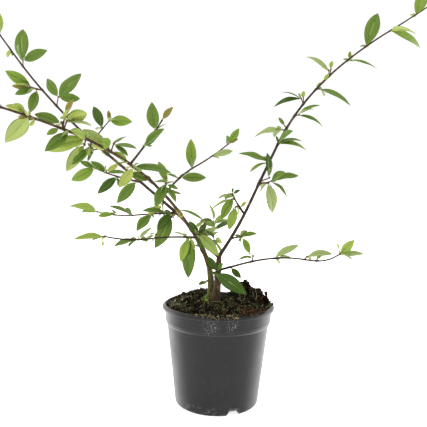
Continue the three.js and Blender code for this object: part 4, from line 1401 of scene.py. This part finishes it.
def leaf_materials():
    """The tops, the undersides, the grooves and the ribs of the leaves, in the order of their looks."""
    kinds = (
        (TOP_COLOURS, 0.5, 0.14), (UNDER_COLOURS, 0.7, 0.15), (GROOVE_COLOURS, 0.5, 0.25),
        (RIB_COLOURS, 0.6, 0.15),
    )
    made = []
    for colours, roughness, specular in kinds:
        for name, base in colours.items():
            paint = Paint(name, base, roughness, specular)
            paint.bump(paint.noise(1100, 2), 0.12, 0.3)
            made.append(paint.finish())
    return made


# Bark: its own colour, its streaks, its pale specks, and the strength of its grain
BARKS = {
    "olive_bark": ((66, 49, 28), (42, 29, 18), (104, 86, 54), 1),
    "green_bark": ((76, 80, 32), (52, 44, 22), (100, 96, 50), 1),
    "bough_bark": ((51, 37, 27), (35, 25, 20), (90, 72, 50), 0.6),
    "warm_bark": ((66, 46, 28), (46, 32, 20), (96, 78, 46), 0.6),
    "node_bark": ((136, 132, 62), (70, 54, 30), (156, 152, 84), 0.6),
    "twig_bark": ((48, 33, 24), (35, 25, 19), (80, 64, 44), 0.5),
    "spur_bark": ((84, 62, 40), (62, 42, 30), (112, 98, 60), 0.6),
}
BROWN = (66, 49, 29)
BROWN_FROM = 142
BROWN_TO = 172


def bark_material(name):
    """Young bark: streaks along the limb, pale specks and a fine grain. The green one is brown higher up."""
    base, streak, pale, grain = BARKS[name]
    paint = Paint(name, base, 0.6, 0.14)
    streaks = paint.noise(420, 4, 0.6, paint.stretched(0.25))
    specks = paint.noise(1500, 2)
    mottle = paint.noise(90, 3)
    blended = paint.blend(paint.ease(streaks, 0.4, 0.62), base, streak)
    blended = paint.blend(paint.ease(mottle, 0.52, 0.68, 0, 0.8), blended, pale)
    blended = paint.blend(paint.ease(specks, 0.62, 0.7, 0, 0.6), blended, pale)
    if name == "green_bark":
        high = paint.ease(paint.height(), BROWN_FROM * MM, BROWN_TO * MM, 0, 0.8)
        blended = paint.blend(high, blended, BROWN)
    normal = paint.bump(streaks, 0.5 * grain, 0.5)
    paint.bump(specks, 0.35 * grain, 0.3, normal)
    return paint.finish(blended, paint.ease(mottle, 0.3, 0.7, 0.45, 0.75))


def pot_material():
    """Charcoal plastic with a satin skin and a painted sheen that pales it where it turns from the eye,
    rubbed pale in places and dusty near its foot.
    """
    paint = Paint("charcoal_plastic", (13, 13, 14), 0.4, 0.22)
    skin = paint.noise(2600, 2)
    cloud = paint.noise(38, 4, 0.6)
    scratch = paint.noise(760, 5, 0.7, paint.stretched(0.7))
    height = paint.height()
    base = paint.blend(paint.ease(cloud, 0.42, 0.64), (13, 13, 15), (20, 20, 22))
    rub = paint.maths("MAXIMUM", paint.near((-7, -61, 104), (4, 14)), paint.near((15, -60, 105), (3, 11)))
    rub = paint.maths("MULTIPLY", rub, paint.ease(scratch, 0.54, 0.62))
    specks = paint.ease(paint.noise(560, 3, 0.6), 0.64, 0.72)
    foot = paint.ease(height, 2 * MM, 15 * MM, 1, 0)
    dust = paint.maths("MULTIPLY", foot, paint.ease(paint.noise(150, 5, 0.7), 0.5, 0.62))
    rim = paint.ease(height, 110 * MM, 115 * MM)
    soiled = paint.maths("MULTIPLY", rim, paint.ease(paint.noise(330, 4, 0.6), 0.52, 0.62))
    # Painted sheen: the base colour pales towards grey where the surface turns from the eye
    base = paint.blend(paint.ease(paint.turned_away(), 0.3, 0.95, 0, 0.6), base, (128, 128, 130))
    marks = (
        (rub, 0.42, (150, 150, 150)), (specks, 0.13, (140, 140, 142)), (dust, 0.34, (110, 108, 102)),
        (soiled, 0.6, (46, 38, 28)),
    )
    for mark, strength, shade in marks:
        base = paint.blend(paint.maths("MULTIPLY", mark, strength), base, shade)
    normal = paint.bump(skin, 0.12, 0.12)
    paint.bump(cloud, 0.1, 0.8, normal)
    return paint.finish(base, paint.ease(cloud, 0.3, 0.7, 0.36, 0.52))


def earth_material(name, dark, light):
    """Crumbled earth or bark: dark and light grains with a coarse bump."""
    paint = Paint(name, dark, 0.95, 0.02)
    grains = paint.noise(700, 4, 0.65)
    patches = paint.noise(120, 3)
    base = paint.blend(paint.ease(grains, 0.45, 0.65), dark, light)
    base = paint.blend(paint.ease(patches, 0.5, 0.75, 0, 0.5), base, dark)
    paint.bump(grains, 0.9, 0.9)
    return paint.finish(base)


def thread_material(name, base, other):
    """A dry fibre, straw, moss or bud scale, mottled in two colours."""
    paint = Paint(name, base, 0.8, 0.06)
    mottle = paint.noise(500, 2)
    paint.bump(mottle, 0.4, 0.2)
    return paint.finish(paint.blend(paint.ease(mottle, 0.4, 0.62), base, other))


# The plant

def dress():
    runs, stems = grow_plant()
    bark = {name: bark_material(name) for name in BARKS}
    bud_scale = thread_material("bud_scale", (138, 78, 32), (100, 54, 30))

    def place(piece, slot, *nodes):
        """Puts a piece on the body, in place of its nodes. slot is not used."""
        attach(piece, "root")
        if nodes:
            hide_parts(*nodes)

    trunk = make_upright("trunk", runs["trunk"], 9)
    place(trunk.make("trunk_bark", [bark["olive_bark"]]), "bark", "trunk")
    left_stem = make_upright("left_stem", runs["left_stem"], 6)
    place(left_stem.make("left_stem_bark", [bark["green_bark"]]), "green_bark", "left_stem")
    looks = [bark[name] for name in ("bough_bark", "warm_bark", "node_bark")]
    boughs = make_boughs(runs, stems).make("bough_bark", looks)
    place(boughs, "bough_bark", "right_bough", "left_bough", "upper_left_bough")
    twigs = make_twigs(stems).make("twigs_and_buds", [bark["twig_bark"], bark["spur_bark"], bud_scale])
    place(twigs, "bough_bark")
    leaves = leaf_materials()
    for group, masses in LEAF_GROUPS.items():
        place(make_leaves(stems, masses).make(group, leaves), "leaves", *masses)

    earth = earth_material("potting_soil", (10, 8, 6), (24, 19, 14))
    crumbs = [earth_material(name, *colours) for name, colours in CRUMB_COLOURS.items()]
    litter = [thread_material(name, *colours) for name, colours in LITTER_COLOURS.items()]
    place(make_soil().make("soil_body", [earth]), "soil", "soil")
    place(make_crumbs().make("soil_crumbs", crumbs), "soil")
    place(make_litter().make("soil_litter", litter), "soil")

    pot = make_pot().make("pot_shell", [pot_material()])
    cut(pot, make_cutters().make("pot_cutters", []))
    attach(pot, "root")
    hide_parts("pot")


# The studio

FOCAL_PIXELS = 560
PHOTO_PIXELS = 427
SENSOR = 36
CAMERA_PLACE = (0, -643, 270)
CAMERA_PITCH = 4.41
CAMERA_ROLL = 1.26
CENTRE_SHIFT = 6.8
FLOOR_GLOW = 0.75
FLOOR_REACH = 9000
FLOOR_DARK = (0.95, 0.95, 0.95, 1)
FLOOR_LIGHT = (0.97, 0.97, 0.97, 1)
SURROUND_GLOW = 1.08

# Soft boxes: place, aim, side and power, in metres and watts
LIGHTS = {
    "key": ((-1.1, -1.3, 1.5), (0, 0, 0.25), 0.9, 16), "left_side": ((-1.5, 0.5, 0.55), (0, 0, 0.2), 1.1, 16),
    "right_side": ((1.5, 0.6, 0.55), (0, 0, 0.2), 1.1, 20), "top": ((0, 0.2, 1.9), (0, 0, 0.2), 1.4, 12),
}


def make_camera():
    lens = bpy.data.cameras.new("camera")
    lens.sensor_width = SENSOR
    lens.lens = FOCAL_PIXELS / PHOTO_PIXELS * SENSOR
    lens.shift_x = -CENTRE_SHIFT / PHOTO_PIXELS
    lens.clip_start = 0.01
    camera = bpy.data.objects.new("camera", lens)
    bpy.context.scene.collection.objects.link(camera)
    turn = Matrix.Rotation(radians(90 - CAMERA_PITCH), 4, "X") @ Matrix.Rotation(radians(CAMERA_ROLL), 4, "Z")
    camera.matrix_world = Matrix.Translation([c * MM for c in CAMERA_PLACE]) @ turn
    bpy.context.scene.camera = camera


def make_studio():
    """White surroundings, a floor that glows a little like a light table, and soft boxes out of view."""
    world = bpy.data.worlds.new("studio")
    world.use_nodes = True
    world.node_tree.nodes["Background"].inputs["Color"].default_value = (1, 1, 1, 1)
    world.node_tree.nodes["Background"].inputs["Strength"].default_value = SURROUND_GLOW
    bpy.context.scene.world = world
    bpy.context.scene.view_settings.view_transform = "Standard"
    for name, (place, aim_at, side, power) in LIGHTS.items():
        light = bpy.data.lights.new(name, "AREA")
        light.shape = "RECTANGLE"
        light.size = light.size_y = side
        light.energy = power
        lamp = bpy.data.objects.new(name, light)
        bpy.context.scene.collection.objects.link(lamp)
        lamp.location = place
        lamp.rotation_euler = (Vector(aim_at) - Vector(place)).to_track_quat("-Z", "Y").to_euler()
    paint = Paint("studio_floor", (243, 243, 243), 0.9, 0.1)
    base = paint.node("Mix", {0: paint.noise(4, 2), 6: FLOOR_DARK, 7: FLOOR_LIGHT}, 2, data_type="RGBA")
    paint.feed(paint.shader, {"Emission Color": (1, 1, 1, 1), "Emission Strength": FLOOR_GLOW})
    floor = Sheaf()
    corners = [(x * FLOOR_REACH, y * FLOOR_REACH, 0) for x, y in ((-1, -1), (1, -1), (1, 1), (-1, 1))]
    floor.add(corners, [(0, 1, 2, 3)], 0)
    plain = floor.make("studio_floor", [paint.finish(base)])


make_camera()
dress()
make_studio()
